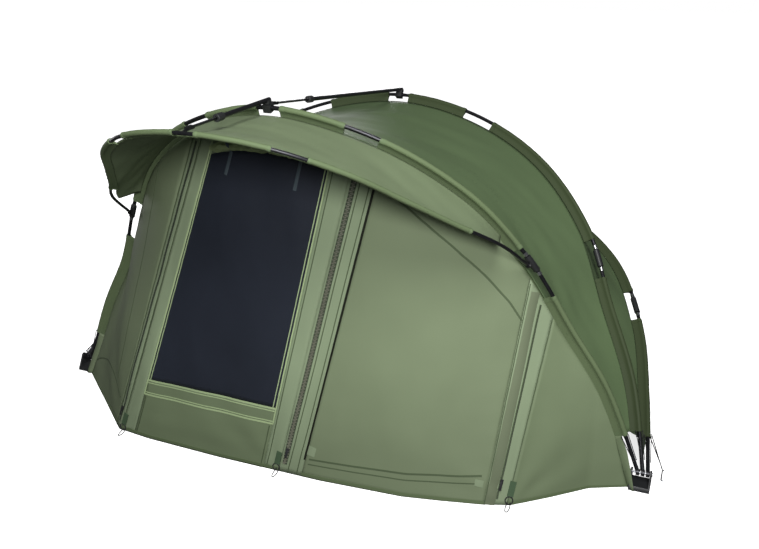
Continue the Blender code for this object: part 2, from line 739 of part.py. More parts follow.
def foot_block(name, side, body):
    """The moulded foot, a rounded block slotted for the three pole ends and bored for their pin."""
    inner = HALF_WIDTH - EYE_PITCH - EYE_WIDTH * HALF - INNER_CHEEK_ROOM
    outer = HALF_WIDTH + EYE_PITCH + EYE_WIDTH * HALF + 2 * PIN_FIT
    width = outer - inner + 2 * CHEEK
    middle = side * (outer + inner) * HALF
    long = BLOCK_LENGTH * HALF
    section = [(-long, 0.0), (long, 0.0), (long, BLOCK_TOE)]
    section += [(BLOCK_CROWN * math.cos(angle), HUB_HEIGHT + BLOCK_CROWN * math.sin(angle))
                for angle in spread(0.0, math.pi, POLE_SIDES)]
    section.append((-long, BLOCK_TOE))
    rings = [[Vector((middle + offset, along, up)) for along, up in section]
             for offset in (-width * HALF, width * HALF)]
    thing = place(sweep(rings, name), name, black_plastic(), body)
    slot = block_mesh(Vector((middle, 0, BLOCK_BASE + HUB_HEIGHT)),
                      (outer - inner, BLOCK_LENGTH + OVERRUN, 2 * HUB_HEIGHT), name)
    add_shape(thing, slot, "DIFFERENCE")
    centre = Vector((middle, 0, HUB_HEIGHT))
    add_shape(thing, disc_mesh(centre, 2 * width, PIN_RADIUS + PIN_FIT, name), "DIFFERENCE")
    return centre, width


def foot_pin(name, centre, width, body):
    """The pin through the foot block, with a head at each end."""
    long = width + 2 * TOUCH_GAP + PIN_HEAD
    thing = place(disc_mesh(centre, long, PIN_RADIUS, name), name, ring_steel(), body)
    for side in (-1, 1):
        near = centre + Vector((side * (width + 2 * TOUCH_GAP + PIN_HEAD) * HALF, 0, 0))
        add_shape(thing, disc_mesh(near, PIN_HEAD, PIN_HEAD_RADIUS, name), "UNION")
    return thing


def visor_ear(knuckle_piece, knuckle_centre, visor, side):
    """An ear forward of the front rib's knuckle, with the pin that the visor hoop turns on."""
    name = knuckle_piece.name
    pivot = Vector((knuckle_centre.x, visor.pivot.y, visor.pivot.z))
    add_shape(knuckle_piece, disc_mesh(pivot, LUG_WIDTH, EAR_RADIUS, name), "UNION")
    start = knuckle_centre.y - KNUCKLE_RADIUS + CLAMP_WALL * HALF
    stem = Vector((pivot.x, (start + pivot.y) * HALF, pivot.z))
    sizes = (LUG_WIDTH * STEM_SHARE, start - pivot.y, 2 * EAR_RADIUS * STEM_SHARE)
    add_shape(knuckle_piece, block_mesh(stem, sizes, name), "UNION")
    long = LUG_WIDTH * HALF + 2 * FORK_GAP + VISOR_EYE_WIDTH + PIN_HEAD * HALF
    middle = pivot - Vector((side * long * HALF, 0, 0))
    add_shape(knuckle_piece, disc_mesh(middle, long, PIN_RADIUS, name), "UNION")
    head = pivot - Vector((side * long, 0, 0))
    add_shape(knuckle_piece, disc_mesh(head, PIN_HEAD, EAR_PIN_HEAD_RADIUS, name), "UNION")


def add_lug(thing, root, pivot):
    """A rounded ear from a pole or clamp to a bar's pin, with its hole."""
    add_shape(thing, disc_mesh(pivot, LUG_WIDTH, LUG_RADIUS, "lug"), "UNION")
    up = (pivot - root).normalized()
    across = Vector((1, 0, 0))
    size = (LUG_WIDTH * STEM_SHARE, 2 * LUG_RADIUS * STEM_SHARE, (pivot - root).length)
    axes = (across, up.cross(across), up)
    add_shape(thing, block_mesh((pivot + root) * HALF, size, "lug_stem", axes), "UNION")
    add_shape(thing, disc_mesh(pivot, 2 * LUG_WIDTH, FORK_PIN_RADIUS + FORK_PIN_FIT, "lug_bore"), "DIFFERENCE")


def visor_hoop(visor, pivot, body):
    """The visor's pole with an eye at each end and a lug at the top for the front bar."""
    start = pole_start(visor, EYE_WALL)
    name = "visor_hoop_pole"
    thing = place(pole_mesh(visor, start, 1 - start, name), name, pole_metal(), body)
    eyes = [Vector((side * visor.foot_x, visor.pivot.y, visor.pivot.z)) for side in (1, -1)]
    for eye in eyes:
        add_shape(thing, disc_mesh(eye, VISOR_EYE_WIDTH, VISOR_EYE_RADIUS, name), "UNION")
    for eye in eyes:
        add_shape(thing, disc_mesh(eye, 2 * VISOR_EYE_WIDTH, PIN_RADIUS + PIN_FIT, name), "DIFFERENCE")
    add_lug(thing, rib_point(visor, HALF), pivot)
    return thing


def crown_frame(rib):
    """The crown's centre and the directions outwards and backwards there."""
    ahead, out, back = rib_axes(rib, HALF)
    return rib_point(rib, HALF), out, back


def cradle_seat(rib):
    """The middle of a bar's tube where it lies over the crown of a rib."""
    centre, out, back = crown_frame(rib)
    return centre + out * (rib.pole + CLAMP_FIT + 2 * CLAMP_WALL + CRADLE_FIT + TUBE_RADIUS)


def crown_clamp(name, rib, along, body, lug=None):
    """A block clamped round the crown pole, with an open cradle for a bar's tube."""
    centre, out, back = crown_frame(rib)
    seat = cradle_seat(rib)
    across = Vector((1, 0, 0))
    size = 2 * (rib.pole + CLAMP_FIT + CLAMP_WALL)
    thing = place(block_mesh(centre, (CLAMP_WIDTH, size, size), name, (across, back, out)), name,
                  black_plastic(), body)
    up = across.cross(along)
    tall = TUBE_RADIUS + CRADLE_FIT + CRADLE_WALL
    cradle = (2 * tall, CRADLE_LENGTH, tall)
    add_shape(thing, block_mesh(seat - up * (tall * HALF), cradle, name, (across, along, up)), "UNION")
    reach = (seat - centre).length - 2 * TUBE_RADIUS
    stem = (centre + seat) * HALF
    sizes = (tall, CRADLE_LENGTH * STEM_SHARE, reach)
    add_shape(thing, block_mesh(stem, sizes, name, (across, back, out)), "UNION")
    if lug is not None:
        add_lug(thing, centre + back * (size * HALF - CLAMP_WALL * HALF), lug)
    trough = along * (2 * CRADLE_LENGTH)
    add_shape(thing, rod_mesh(seat - trough, seat + trough, TUBE_RADIUS + CRADLE_FIT, name), "DIFFERENCE")
    add_shape(thing, disc_mesh(centre, 2 * CLAMP_WIDTH, rib.pole + CLAMP_FIT, name), "DIFFERENCE")
    return thing


def bar_fork(rod, pivot, along):
    """The fork at a bar's foot, two tines with the pin between them."""
    across = Vector((1, 0, 0))
    up = across.cross(along)
    inner = LUG_WIDTH * HALF + FORK_GAP
    for side in (-1, 1):
        centre = pivot + along * (FORK_REACH * HALF) + across * (side * (inner + FORK_TINE * HALF))
        size = (FORK_TINE, FORK_REACH + 2 * LUG_RADIUS * STEM_SHARE, 2 * LUG_RADIUS * STEM_SHARE)
        add_shape(rod, block_mesh(centre, size, "tine", (across, along, up)), "UNION")
    wide = 2 * (inner + FORK_TINE)
    bridge = pivot + along * (FORK_REACH + LUG_RADIUS * HALF)
    size = (wide - FORK_TINE * HALF, 2 * LUG_RADIUS * STEM_SHARE, LUG_RADIUS * 2 * STEM_SHARE * STEM_SHARE)
    add_shape(rod, block_mesh(bridge, size, "bridge", (across, along, up)), "UNION")
    add_shape(rod, disc_mesh(pivot, wide - FORK_TINE, FORK_PIN_RADIUS, "fork_pin"), "UNION")


def collar_mesh(start, end, name):
    """The twist collar that locks a bar's length, with grooves to grip."""
    along = (end - start).normalized()
    side = along.orthogonal().normalized()
    other = along.cross(side)
    rings, holes = [], []
    for point in (start, end):
        ring = circle(point, side, other, COLLAR_RADIUS, 2 * SMALL_SIDES)
        for index in range(0, len(ring), 2):
            ring[index] = point + (ring[index] - point) * (1 - COLLAR_GROOVE / COLLAR_RADIUS)
        rings.append(ring)
        holes.append(circle(point, side, other, ROD_RADIUS + COLLAR_FIT, 2 * SMALL_SIDES))
    return sweep(rings, name, holes, ring_cap)


def tension_bar(label, pivot, seat, rod_length, overlap, parent):
    """A telescopic bar: a rod with a fork at its pivot, a tube that slides on it and a twist collar."""
    along = (seat - pivot).normalized()
    rod_body = joint_body(f"{label}_bar_rod", pivot, parent)
    name = f"{label}_bar_rod"
    rod_end = pivot + along * (rod_length + COLLAR_LENGTH + overlap)
    data = rod_mesh(pivot + along * FORK_REACH, rod_end, ROD_RADIUS, name)
    rod = place(data, name, bar_metal(), rod_body)
    bar_fork(rod, pivot, along)
    collar_start = pivot + along * rod_length
    tube_start = collar_start + along * (COLLAR_LENGTH + TOUCH_GAP)
    tube_body = joint_body(f"{label}_bar_tube", tube_start, rod_body)
    name = f"{label}_bar_tube"
    data = rod_mesh(tube_start, seat + along * BAR_END_MARGIN, TUBE_RADIUS, name, bore=TUBE_BORE)
    place(data, name, bar_metal(), tube_body)
    collar_body = joint_body(f"{label}_bar_collar", collar_start, tube_body)
    name = f"{label}_bar_collar"
    data = collar_mesh(collar_start, collar_start + along * COLLAR_LENGTH, name)
    place(data, name, black_plastic(), collar_body)


def peg_loop(name, foot, along, out, body):
    """A webbing strap up the wall with a peg ring at the ground."""
    side = out.cross(along).normalized()
    lift = CLOTH + STRAP_THICKNESS * HALF + TOUCH_GAP
    ring_centre = foot + out * lift + along * (RING_RADIUS + 2 * RING_WIRE)
    centre = ring_centre + along * (RING_RADIUS + STRAP_LENGTH * HALF)
    size = (STRAP_WIDTH, STRAP_THICKNESS, STRAP_LENGTH)
    thing = place(block_mesh(centre, size, name, (side, out, along)), name, webbing(), body, smooth=False)
    shape = bmesh.new()
    skins = []
    for turn in spread(0.0, 2 * math.pi, SMALL_SIDES)[:-1]:
        radial = side * math.cos(turn) + along * math.sin(turn)
        ring = circle(ring_centre + radial * RING_RADIUS, radial, out, RING_WIRE, RING_SIDES)
        skins.append([shape.verts.new(point) for point in ring])
    for first, second in zip(skins, skins[1:] + skins[:1]):
        for index in range(len(first)):
            after = (index + 1) % len(first)
            shape.faces.new((first[index], first[after], second[after], second[index]))
    add_shape(thing, finish_mesh(shape, name), "UNION")
    return thing


def tube_curve(name, points, radius, finish, body):
    """A round cord or wire through the points."""
    data = bpy.data.curves.new(name, "CURVE")
    data.dimensions = "3D"
    data.bevel_depth = radius
    data.bevel_resolution = 1
    data.use_fill_caps = True
    data.materials.append(finish)
    line = data.splines.new("POLY")
    line.points.add(len(points) - 1)
    for point, place_at in zip(line.points, points):
        point.co = (*(place_at - body.origin), 1.0)
    thing = bpy.data.objects.new(name, data)
    bpy.context.scene.collection.objects.link(thing)
    thing.parent = body.holder
    return thing


def hub_elastic(word, side, rear, body):
    """The elastic from the rear sleeve's end down to its hook beside the foot block."""
    outside = rear.pole + SLEEVE_FIT + CLOTH + ELASTIC_RADIUS
    top_turn = FOOT_TURN_SHARE + ELASTIC_OVERLAP_SHARE
    turn = top_turn if side > 0 else 1 - top_turn
    start = rib_point(rear, turn, -outside)
    hook = Vector((side * HOOK_X, HOOK_Y, HOOK_HEIGHT))
    end = hook + (start - hook).normalized() * (HOOK_WIRE + ELASTIC_RADIUS + TOUCH_GAP)
    tube_curve(f"hub_elastic_{word}", [start.lerp(end, along) for along in spread(0.0, 1.0, ELASTIC_STEPS)],
               ELASTIC_RADIUS, webbing(), body)
    path = [(HOOK_FOOT, HOOK_WIRE), (HOOK_WIRE, HOOK_WIRE), (0.0, 2 * HOOK_WIRE), (0.0, HOOK_HEIGHT),
            (HOOK_WIRE, HOOK_HEIGHT + HOOK_WIRE), (2 * HOOK_WIRE, HOOK_HEIGHT)]
    points = [Vector((side * (HOOK_X + across), HOOK_Y, up)) for across, up in path]
    tube_curve(f"peg_hook_{word}", points, HOOK_WIRE, ring_steel(), body)


def front_peg_loops(front, body):
    """The three peg loops along the foot of the front wall."""
    for word, share in zip(("left", "middle", "right"), PEG_SHARES):
        foot = front_ground_point(share)
        wide = front_ground_point(share + PEG_SPAN_SHARE) - front_ground_point(share - PEG_SPAN_SHARE)
        seams = (LEFT_ZIP_INNER, MIDDLE_ZIP, RIGHT_ZIP_OUTER)
        near = min(seams, key=lambda seam: abs(seam.foot_share - share))
        head = rib_point(front, seam_turn(front, near), WALL_INSET, -CLOTH)
        along = (head - front_ground_point(near.foot_share)).normalized()
        out = along.cross(wide).normalized()
        if out.y > 0:
            out.negate()
        peg_loop(f"front_peg_loop_{word}", foot, along, out, body)


def rear_peg_loops(rear, body):
    """The peg loop low on each side of the rear wall."""
    for word, hem_turn in (("right", REAR_PEG_TURN_SHARE), ("left", 1 - REAR_PEG_TURN_SHARE)):
        foot = rear_ground_point(hem_turn)
        ahead = rear_ground_point(hem_turn + TURN_STEP_SHARE) - rear_ground_point(hem_turn - TURN_STEP_SHARE)
        span = (hem_turn - REAR_HEM_START_SHARE) / (1 - 2 * REAR_HEM_START_SHARE)
        turn = FOOT_TURN_SHARE + (1 - 2 * FOOT_TURN_SHARE) * span
        top = rib_point(rear, turn, CANOPY_INSET, CANOPY_SET_BACK)
        along = (top - foot).normalized()
        out = along.cross(ahead).normalized()
        if out.dot(foot) < 0:
            out.negate()
        peg_loop(f"rear_peg_loop_{word}", foot, along, out, body)


def clear_scene():
    for thing in list(bpy.data.objects):
        bpy.data.objects.remove(thing, do_unlink=True)


def main():
    clear_scene()
    hub = Vector((0.0, 0.0, HUB_HEIGHT))
    front = make_rib(HALF_WIDTH - EYE_PITCH, HALF_WIDTH, FRONT_REACH, FRONT_SHARES,
                     (FRONT_FOOT_LEAN, FRONT_CROWN_LEAN), hub, POLE_RADIUS, FIN_DEPTH)
    middle = make_rib(HALF_WIDTH, HALF_WIDTH, MIDDLE_REACH, MIDDLE_SHARES,
                      (MIDDLE_LEAN, MIDDLE_LEAN), hub, POLE_RADIUS, FIN_DEPTH)
    rear = make_rib(HALF_WIDTH + EYE_PITCH, HALF_WIDTH, REAR_REACH, REAR_SHARES,
                    (REAR_LEAN, REAR_LEAN), hub, POLE_RADIUS, FIN_DEPTH)
    knuckle_centre = rib_point(front, VISOR_PIVOT_SHARE)
    visor_half = knuckle_centre.x - (LUG_WIDTH + VISOR_EYE_WIDTH) * HALF - FORK_GAP
    visor_pivot = Vector((0.0, knuckle_centre.y - VISOR_FORWARD, knuckle_centre.z))
    visor = make_rib(visor_half, visor_half, VISOR_REACH, VISOR_SHARES, (VISOR_LEAN, VISOR_LEAN),
                     visor_pivot, VISOR_POLE_RADIUS, VISOR_FIN_DEPTH)

    middle_back = (rib_point(visor, HALF).y + REAR_GROUND_REACH) * HALF
    outline = joint_body("tent_outline", Vector((0.0, -middle_back, 0.0)), Body(None, Vector()))
    ground = Body(outline.holder, Vector())
    rear_body = joint_body("rear_rib", hub, ground)
    middle_body = joint_body("middle_rib", hub, rear_body)
    front_body = joint_body("front_rib", hub, middle_body)
    visor_body = joint_body("visor", visor_pivot, front_body)

    for word, side in (("right", 1), ("left", -1)):
        centre, width = foot_block(f"foot_block_{word}", side, ground)
        foot_pin(f"foot_pin_{word}", centre, width, ground)
        hub_elastic(word, side, rear, ground)
    frame_rib("rear_rib", rear, REAR_KNUCKLE_SHARE, REAR_WINDOW_SHARES, rear_body)
    frame_rib("middle_rib", middle, MIDDLE_KNUCKLE_SHARE, MIDDLE_WINDOW_SHARES, middle_body)
    knuckles = frame_rib("front_rib", front, VISOR_PIVOT_SHARE, FRONT_WINDOW_SHARES, front_body)
    for side, piece in knuckles.items():
        centre = Vector((side * knuckle_centre.x, knuckle_centre.y, knuckle_centre.z))
        visor_ear(piece, centre, visor, side)

    front_seat = cradle_seat(front)
    rear_seat = cradle_seat(middle)
    front_pivot = rib_point(visor, HALF) + Vector((0.0, VISOR_LUG_REACH, VISOR_LUG_RISE))
    front_crown, front_out, front_back = crown_frame(front)
    rear_pivot = front_crown + front_back * FRONT_LUG_REACH
    visor_hoop(visor, front_pivot, visor_body)
    sleeve("visor_sleeve", visor, VISOR_SLEEVE_SHARE, VISOR_WINDOW_SHARES, visor_body)
    crown_clamp("front_crown_clamp", front, (front_seat - front_pivot).normalized(), front_body, rear_pivot)
    crown_clamp("middle_crown_clamp", middle, (rear_seat - rear_pivot).normalized(), middle_body)
    tension_bar("front", front_pivot, front_seat, FRONT_BAR_ROD, FRONT_BAR_OVERLAP, visor_body)
    tension_bar("rear", rear_pivot, rear_seat, REAR_BAR_ROD, REAR_BAR_OVERLAP, front_body)

    canopy_panel("rear_canopy", middle, rear, rear_body)
    canopy_panel("front_canopy", front, middle, middle_body)
    rear_wall(rear, ground)
    rear_peg_loops(rear, ground)
    visor_panel(visor, front, front_body)
    for label, line in front_wall(front, front_body).items():
        zip_slider(f"{label}_zip_slider", line, front_body)
    cover_roll(front, front_body)
    front_peg_loops(front, front_body)


if __name__ == "__main__":
    main()
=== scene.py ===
"""The look of a one-person bivvy tent: cloth, zips, mesh door, poles and fittings over its CAD frame."""

import json
import math
from collections import namedtuple

import bmesh
import bpy
from bpy.props import FloatProperty, FloatVectorProperty, PointerProperty
from mathutils import Matrix, Vector, noise


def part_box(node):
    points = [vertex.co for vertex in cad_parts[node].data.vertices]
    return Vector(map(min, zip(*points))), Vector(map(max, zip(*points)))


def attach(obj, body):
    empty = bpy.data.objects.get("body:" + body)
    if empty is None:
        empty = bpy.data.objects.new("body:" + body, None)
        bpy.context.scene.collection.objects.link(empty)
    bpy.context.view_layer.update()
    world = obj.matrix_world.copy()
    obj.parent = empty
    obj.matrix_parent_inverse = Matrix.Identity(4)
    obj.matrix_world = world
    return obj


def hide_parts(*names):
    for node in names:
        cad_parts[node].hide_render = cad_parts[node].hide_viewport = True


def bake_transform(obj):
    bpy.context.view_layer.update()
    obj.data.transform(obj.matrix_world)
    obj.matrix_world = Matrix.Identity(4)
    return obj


bl_info = {
    "name": "Bivvy tent",
    "version": (1, 0, 0),
    "blender": (4, 5, 0),
    "location": "View3D > Sidebar > Bivvy",
    "description": "Builds the cloth, door, poles and fittings of a bivvy tent on its frame",
    "category": "Object",
}

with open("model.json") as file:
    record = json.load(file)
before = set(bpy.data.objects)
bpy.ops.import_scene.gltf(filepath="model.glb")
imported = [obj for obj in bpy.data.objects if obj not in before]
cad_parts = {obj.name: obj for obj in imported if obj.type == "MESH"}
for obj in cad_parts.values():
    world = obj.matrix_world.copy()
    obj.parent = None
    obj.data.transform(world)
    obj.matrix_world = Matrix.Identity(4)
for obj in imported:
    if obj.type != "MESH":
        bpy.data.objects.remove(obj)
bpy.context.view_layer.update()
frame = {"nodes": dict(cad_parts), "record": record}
BODY_OF = {node: body for body, nodes in frame["record"]["behaviour"]["bodies"].items() for node in nodes}
SLOT_OF = {row["node"]: row["material_slot"] for row in frame["record"]["subparts"]}

# The ribs turn about one line through the hubs. Lengths are in metres. A turn is the share of the way along a rib
# from its right foot to its left, a lean is in degrees back from upright, and the shares give the guide points
# of a rib across and up its plane.
HUBS_BACK = sum(corner[1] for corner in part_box("foot_block_right")) * 0.5
BASE = Vector((0.0, HUBS_BACK, 0.0))
HUB = BASE + Vector((0.0, 0.0, 0.06))
FOOT_PITCH = 0.019
FRONT_SHARES = ((0.882, 0.221), (0.7625, 0.397), (0.647, 0.594), (0.494, 0.785), (0.273, 0.933), (0.0, 1.0))
MIDDLE_SHARES = ((0.937, 0.224), (0.833, 0.429), (0.721, 0.643), (0.536, 0.828), (0.286, 0.951), (0.0, 1.0))
REAR_SHARES = ((0.975, 0.216), (0.916, 0.437), (0.793, 0.656), (0.576, 0.825), (0.307, 0.947), (0.0, 1.0))
VISOR_SHARES = ((0.931, 0.221), (0.789, 0.404), (0.66, 0.585), (0.51, 0.784), (0.285, 0.942), (0.0, 1.0))
FRONT_REACH, MIDDLE_REACH, REAR_REACH, VISOR_REACH = 1.471, 1.514, 1.632, 0.976
FRONT_LEANS = (1.0, -17.2)
MIDDLE_LEAN, REAR_LEAN, VISOR_LEAN, GROUND_LEAN = 33.0, 60.0, -54.9, 90.0
FRONT_EDGE_LEAN = -12.0
TURN_STEP = 0.001
VISOR_PIVOT_TURN = 0.245
VISOR_FOOT = 0.0081
VISOR_FORWARD = 0.025
FOOT_TURN = 0.038
JOINT_TURNS = {"front": 0.245, "middle": 0.214, "rear": 0.191}

# The windows of the sleeves, as turns up to the crown; the other side mirrors them
FRONT_WINDOWS = ((0.2055, 0.2635), (0.411, 0.439), (0.49, 0.51))
MIDDLE_WINDOWS = ((0.194, 0.234), (0.394, 0.426), (0.489, 0.511))
REAR_WINDOWS = ((0.174, 0.208),)
VISOR_WINDOWS = ((0.376, 0.412), (0.488, 0.512))
VISOR_SLEEVE_TURN = 0.138

# The ground line: the front as shares of the half width and the reach, the rear as half width, reach and power
FRONT_GROUND_REACH = 0.455
FRONT_GROUND = ((-0.985, 0.05), (-0.615, 0.945), (-0.489, 0.982), (-0.222, 1.0), (0.119, 0.985),
                (0.37, 0.93), (0.481, 0.86), (0.593, 0.78), (0.667, 0.7), (0.763, 0.46), (0.859, 0.2),
                (0.985, 0.02))
REAR_GROUND = (1.335, 1.68, 3.0)

# The front wall hangs inside the front pole. A seam runs from its foot to its head, both as shares of the half
# width, and the heights on the wall are shares too.
WALL_INSET = 0.0405
WALL_END_TURN = 0.039
Seam = namedtuple("Seam", "foot head")
LEFT_END = Seam(-0.962, -0.962)
LEFT_ZIP_OUTER = Seam(-0.641, -0.263)
LEFT_ZIP_INNER = Seam(-0.604, -0.222)
MESH_LEFT = Seam(-0.552, -0.174)
MESH_RIGHT = Seam(-0.068, 0.178)
MIDDLE_ZIP = Seam(-0.018, 0.232)
FLAP_EDGE = Seam(0.058, 0.294)
RIGHT_ZIP_INNER = Seam(0.598, 0.65)
RIGHT_ZIP_OUTER = Seam(0.662, 0.714)
RIGHT_END = Seam(0.962, 0.962)
KICK = 0.205
MESH_TOP = 0.918
ROLL_UP = 0.944
STRAP_PLACES = (0.22, 0.8)
PEG_FEET = ((-0.6, 0.9), (-0.026, 0.7), (0.662, 0.8))
CANOPY_INSET, CANOPY_BEHIND = 0.036, 0.005
STRANDS = (("front", -1), ("front", 0), ("front", 1), ("middle", -1), ("middle", 0), ("rear", -1), ("rear", 0))
HOOK_PLACE = (1.419, 0.064, 0.05)
Rib = namedtuple("Rib", "foot_x guides leans pivot pole fin")
CAMERA_PLACE = BASE + Vector((1.466, -2.996, 1.960))
CAMERA_BACK = Vector((0.3552, -0.8649, 0.3548))
CAMERA_LENS = 40.06
FLOOR_HALF, WORLD_LIGHT = 30.0, 0.11
# Each lamp's place and target from the hubs' line on the ground, its size in metres and its power in watts
LAMPS = (("key", (2.35, -4.4, 2.9), (0.0, -0.2, 0.8), 1.2, 250.0),
         ("top", (1.5, -2.7, 4.4), (0.1, -0.2, 1.0), 1.8, 150.0),
         ("back", (-2.4, 5.6, 1.3), (0.0, 0.8, 0.4), 2.0, 90.0),
         ("left", (-5.5, 1.6, 1.3), (0.0, 0.6, 0.5), 2.0, 40.0))


def srgb(code):
    """A linear colour from an sRGB hex value."""
    values = [int(code[index:index + 2], 16) / 255 for index in (1, 3, 5)]
    return [value / 12.92 if value <= 0.04045 else ((value + 0.055) / 1.055) ** 2.4 for value in values] + [1.0]


def length_property(name, default, description):
    return FloatProperty(name=name, description=description, default=default, unit="LENGTH")


def colour_property(name, code, description):
    return FloatVectorProperty(name=name, description=description, subtype="COLOR", size=4, default=srgb(code))


class BivvySizes(bpy.types.PropertyGroup):
    """Sizes of the cloth, poles and trim."""

    half_width: length_property("Half width", 1.35, "Centre line to the middle rib's foot")
    cloth: length_property("Cloth", 0.0012, "Thickness of the coated cloth")
    fin: length_property("Fin depth", 0.045, "Depth of a sleeve's fin")
    visor_fin: length_property("Visor fin", 0.026, "Depth of the visor's fin")
    pole: length_property("Pole radius", 0.008, "Radius of the rib poles")
    visor_pole: length_property("Visor pole radius", 0.0065, "Radius of the visor hoop")
    sag: FloatProperty(name="Sag", description="Sag of the canopy as a share of its span", default=0.05)
    crease: length_property("Crease", 0.006, "Depth of the cloth's soft creases")
    piping: length_property("Piping", 0.0035, "Radius of the piping round the window")


class BivvyColours(bpy.types.PropertyGroup):
    """Colours of the finishes."""

    canopy: colour_property("Canopy", "#596B4B", "Coated cloth of the canopy")
    wall: colour_property("Wall", "#6F7B60", "Coated cloth of the front wall")
    sleeve: colour_property("Sleeve", "#5C6A4C", "Cloth of the pole sleeves")
    band: colour_property("Band", "#7F8D71", "Cloth bands beside the zips")
    piping: colour_property("Piping", "#9CAE84", "Pale piping round the window")
    mesh: colour_property("Mesh", "#1C2029", "Insect mesh")
    pole: colour_property("Pole", "#2A2A2D", "Anodised poles")
    plastic: colour_property("Plastic", "#1B1C1D", "Moulded fittings")
    webbing: colour_property("Webbing", "#33472F", "Peg straps")


def sizes():
    return bpy.context.scene.bivvy_sizes


def colours():
    return bpy.context.scene.bivvy_colours


# The ribs' curves, the same as the frame's


def make_rib(foot_x, scale, reach, shares, leans, pivot, pole, fin):
    guides = [(foot_x, 0.0)] + [(across * scale, up * reach) for across, up in shares]
    return Rib(foot_x, guides, [math.radians(lean) for lean in leans], pivot, pole, fin)


def smooth_between(before, start, end, after, along):
    square = along * along
    cube = square * along
    return 0.5 * (2 * start + (end - before) * along + (2 * before - 5 * start + 4 * end - after) * square
                  + (3 * start - before - 3 * end + after) * cube)


def flat_point(rib, turn):
    guides = rib.guides
    last = len(guides) - 1
    side = 1 if turn <= 0.5 else -1
    place = (turn if side > 0 else 1 - turn) * 2 * last
    index = max(min(int(place), last - 1), 0)
    start, end = guides[index], guides[index + 1]
    before = guides[index - 1] if index else tuple(2 * a - b for a, b in zip(start, end))
    after = guides[index + 2] if index + 2 <= last else (-guides[last - 1][0], guides[last - 1][1])
    across, out = (smooth_between(*values, place - index) for values in zip(before, start, end, after))
    return side * across, out


def rib_point(rib, turn, inset=0.0, behind=0.0):
    """A point on the rib's pole, moved inwards in its plane by inset and backwards out of it by behind."""
    across, out = flat_point(rib, turn)
    low = flat_point(rib, max(turn - TURN_STEP, 0.0))
    high = flat_point(rib, min(turn + TURN_STEP, 1.0))
    along = Vector((high[0] - low[0], high[1] - low[1])).normalized()
    across -= along.y * inset
    out += along.x * inset
    rise = math.sin(math.atan2(max(out, 0.0), abs(across)))
    lean = rib.leans[0] + (rib.leans[1] - rib.leans[0]) * rise * rise
    return rib.pivot + Vector((across, out * math.sin(lean) + behind * math.cos(lean),
                               out * math.cos(lean) - behind * math.sin(lean)))


def rib_axes(rib, turn):
    """The rib's directions at a turn: along the pole, outwards in its plane and backwards."""
    centre = rib_point(rib, turn)
    back = (rib_point(rib, turn, 0.0, 0.003) - centre).normalized()
    ahead = rib_point(rib, min(turn + TURN_STEP, 1.0)) - rib_point(rib, max(turn - TURN_STEP, 0.0))
    ahead = (ahead - back * ahead.dot(back)).normalized()
    return ahead, back.cross(ahead), back


def rib_path(rib, low, high, steps):
    return [rib_point(rib, turn) for turn in spread(low, high, steps)]


def all_ribs():
    s = sizes()
    rows = (("front", -FOOT_PITCH, FRONT_REACH, FRONT_SHARES, FRONT_LEANS),
            ("middle", 0.0, MIDDLE_REACH, MIDDLE_SHARES, (MIDDLE_LEAN, MIDDLE_LEAN)),
            ("rear", FOOT_PITCH, REAR_REACH, REAR_SHARES, (REAR_LEAN, REAR_LEAN)))
    ribs = {label: make_rib(s.half_width + shift, s.half_width, reach, shares, leans, HUB, s.pole, s.fin)
            for label, shift, reach, shares, leans in rows}
    centre = rib_point(ribs["front"], VISOR_PIVOT_TURN)
    pivot = Vector((0.0, centre.y - VISOR_FORWARD, centre.z))
    half = centre.x - VISOR_FOOT
    ribs["visor"] = make_rib(half, half, VISOR_REACH, VISOR_SHARES, (VISOR_LEAN, VISOR_LEAN), pivot, s.visor_pole,
                             s.visor_fin)
    return ribs


def front_ground(share):
    points = FRONT_GROUND
    for first, second in zip(points, points[1:]):
        if share <= second[0]:
            break
    along = (share - first[0]) / (second[0] - first[0])
    reach = first[1] + (second[1] - first[1]) * along
    return BASE + Vector((share * sizes().half_width, -reach * FRONT_GROUND_REACH, 0.0))


def seam_turn(front, seam):
    low, high = WALL_END_TURN * 0.5, 1 - WALL_END_TURN * 0.5
    for _ in range(24):
        middle = (low + high) * 0.5
        if rib_point(front, middle, WALL_INSET).x > seam.head * sizes().half_width:
            low = middle
        else:
            high = middle
    return min(max(low, WALL_END_TURN), 1 - WALL_END_TURN)


def wall_surface(front, left, right):
    """A function of (across, up) for the part of the front wall between two straight seams."""
    turns = seam_turn(front, left), seam_turn(front, right)

    def point(across, up):
        foot = front_ground(left.foot + (right.foot - left.foot) * across)
        turn = turns[0] + (turns[1] - turns[0]) * across
        return foot.lerp(rib_point(front, turn, WALL_INSET, -0.003), up)
    return point


def rear_ground(turn):
    half, reach, power = REAR_GROUND
    angle = math.pi * turn
    across = math.copysign(abs(math.cos(angle)) ** (2 / power), math.cos(angle))
    return BASE + Vector((half * across, reach * abs(math.sin(angle)) ** (2 / power), 0.0))


# Materials


WAVE_PERIOD = 0.314  # the length of one band of the wave texture at scale 1
WEAVE_PITCH = 0.0022


def fill_in(tree, node, settings, links):
    """Sets a node's properties and inputs, and links its inputs from other sockets."""
    for key, value in settings.items():
        if isinstance(key, int) or key in node.inputs:
            node.inputs[key].default_value = value
        else:
            setattr(node, key, value)
    for key, source in links.items():
        tree.links.new(source, node.inputs[key])
    return node


def add_node(tree, kind, settings=None, links=None):
    """Adds a shader node with its settings and links."""
    return fill_in(tree, tree.nodes.new(f"ShaderNode{kind}"), settings or {}, links or {})


def object_place(tree):
    return add_node(tree, "TexCoord").outputs["Object"]


def cloth_place(tree):
    """The place on the cloth itself, in metres."""
    return add_node(tree, "UVMap", {"uv_map": "UVMap"}).outputs["UV"]


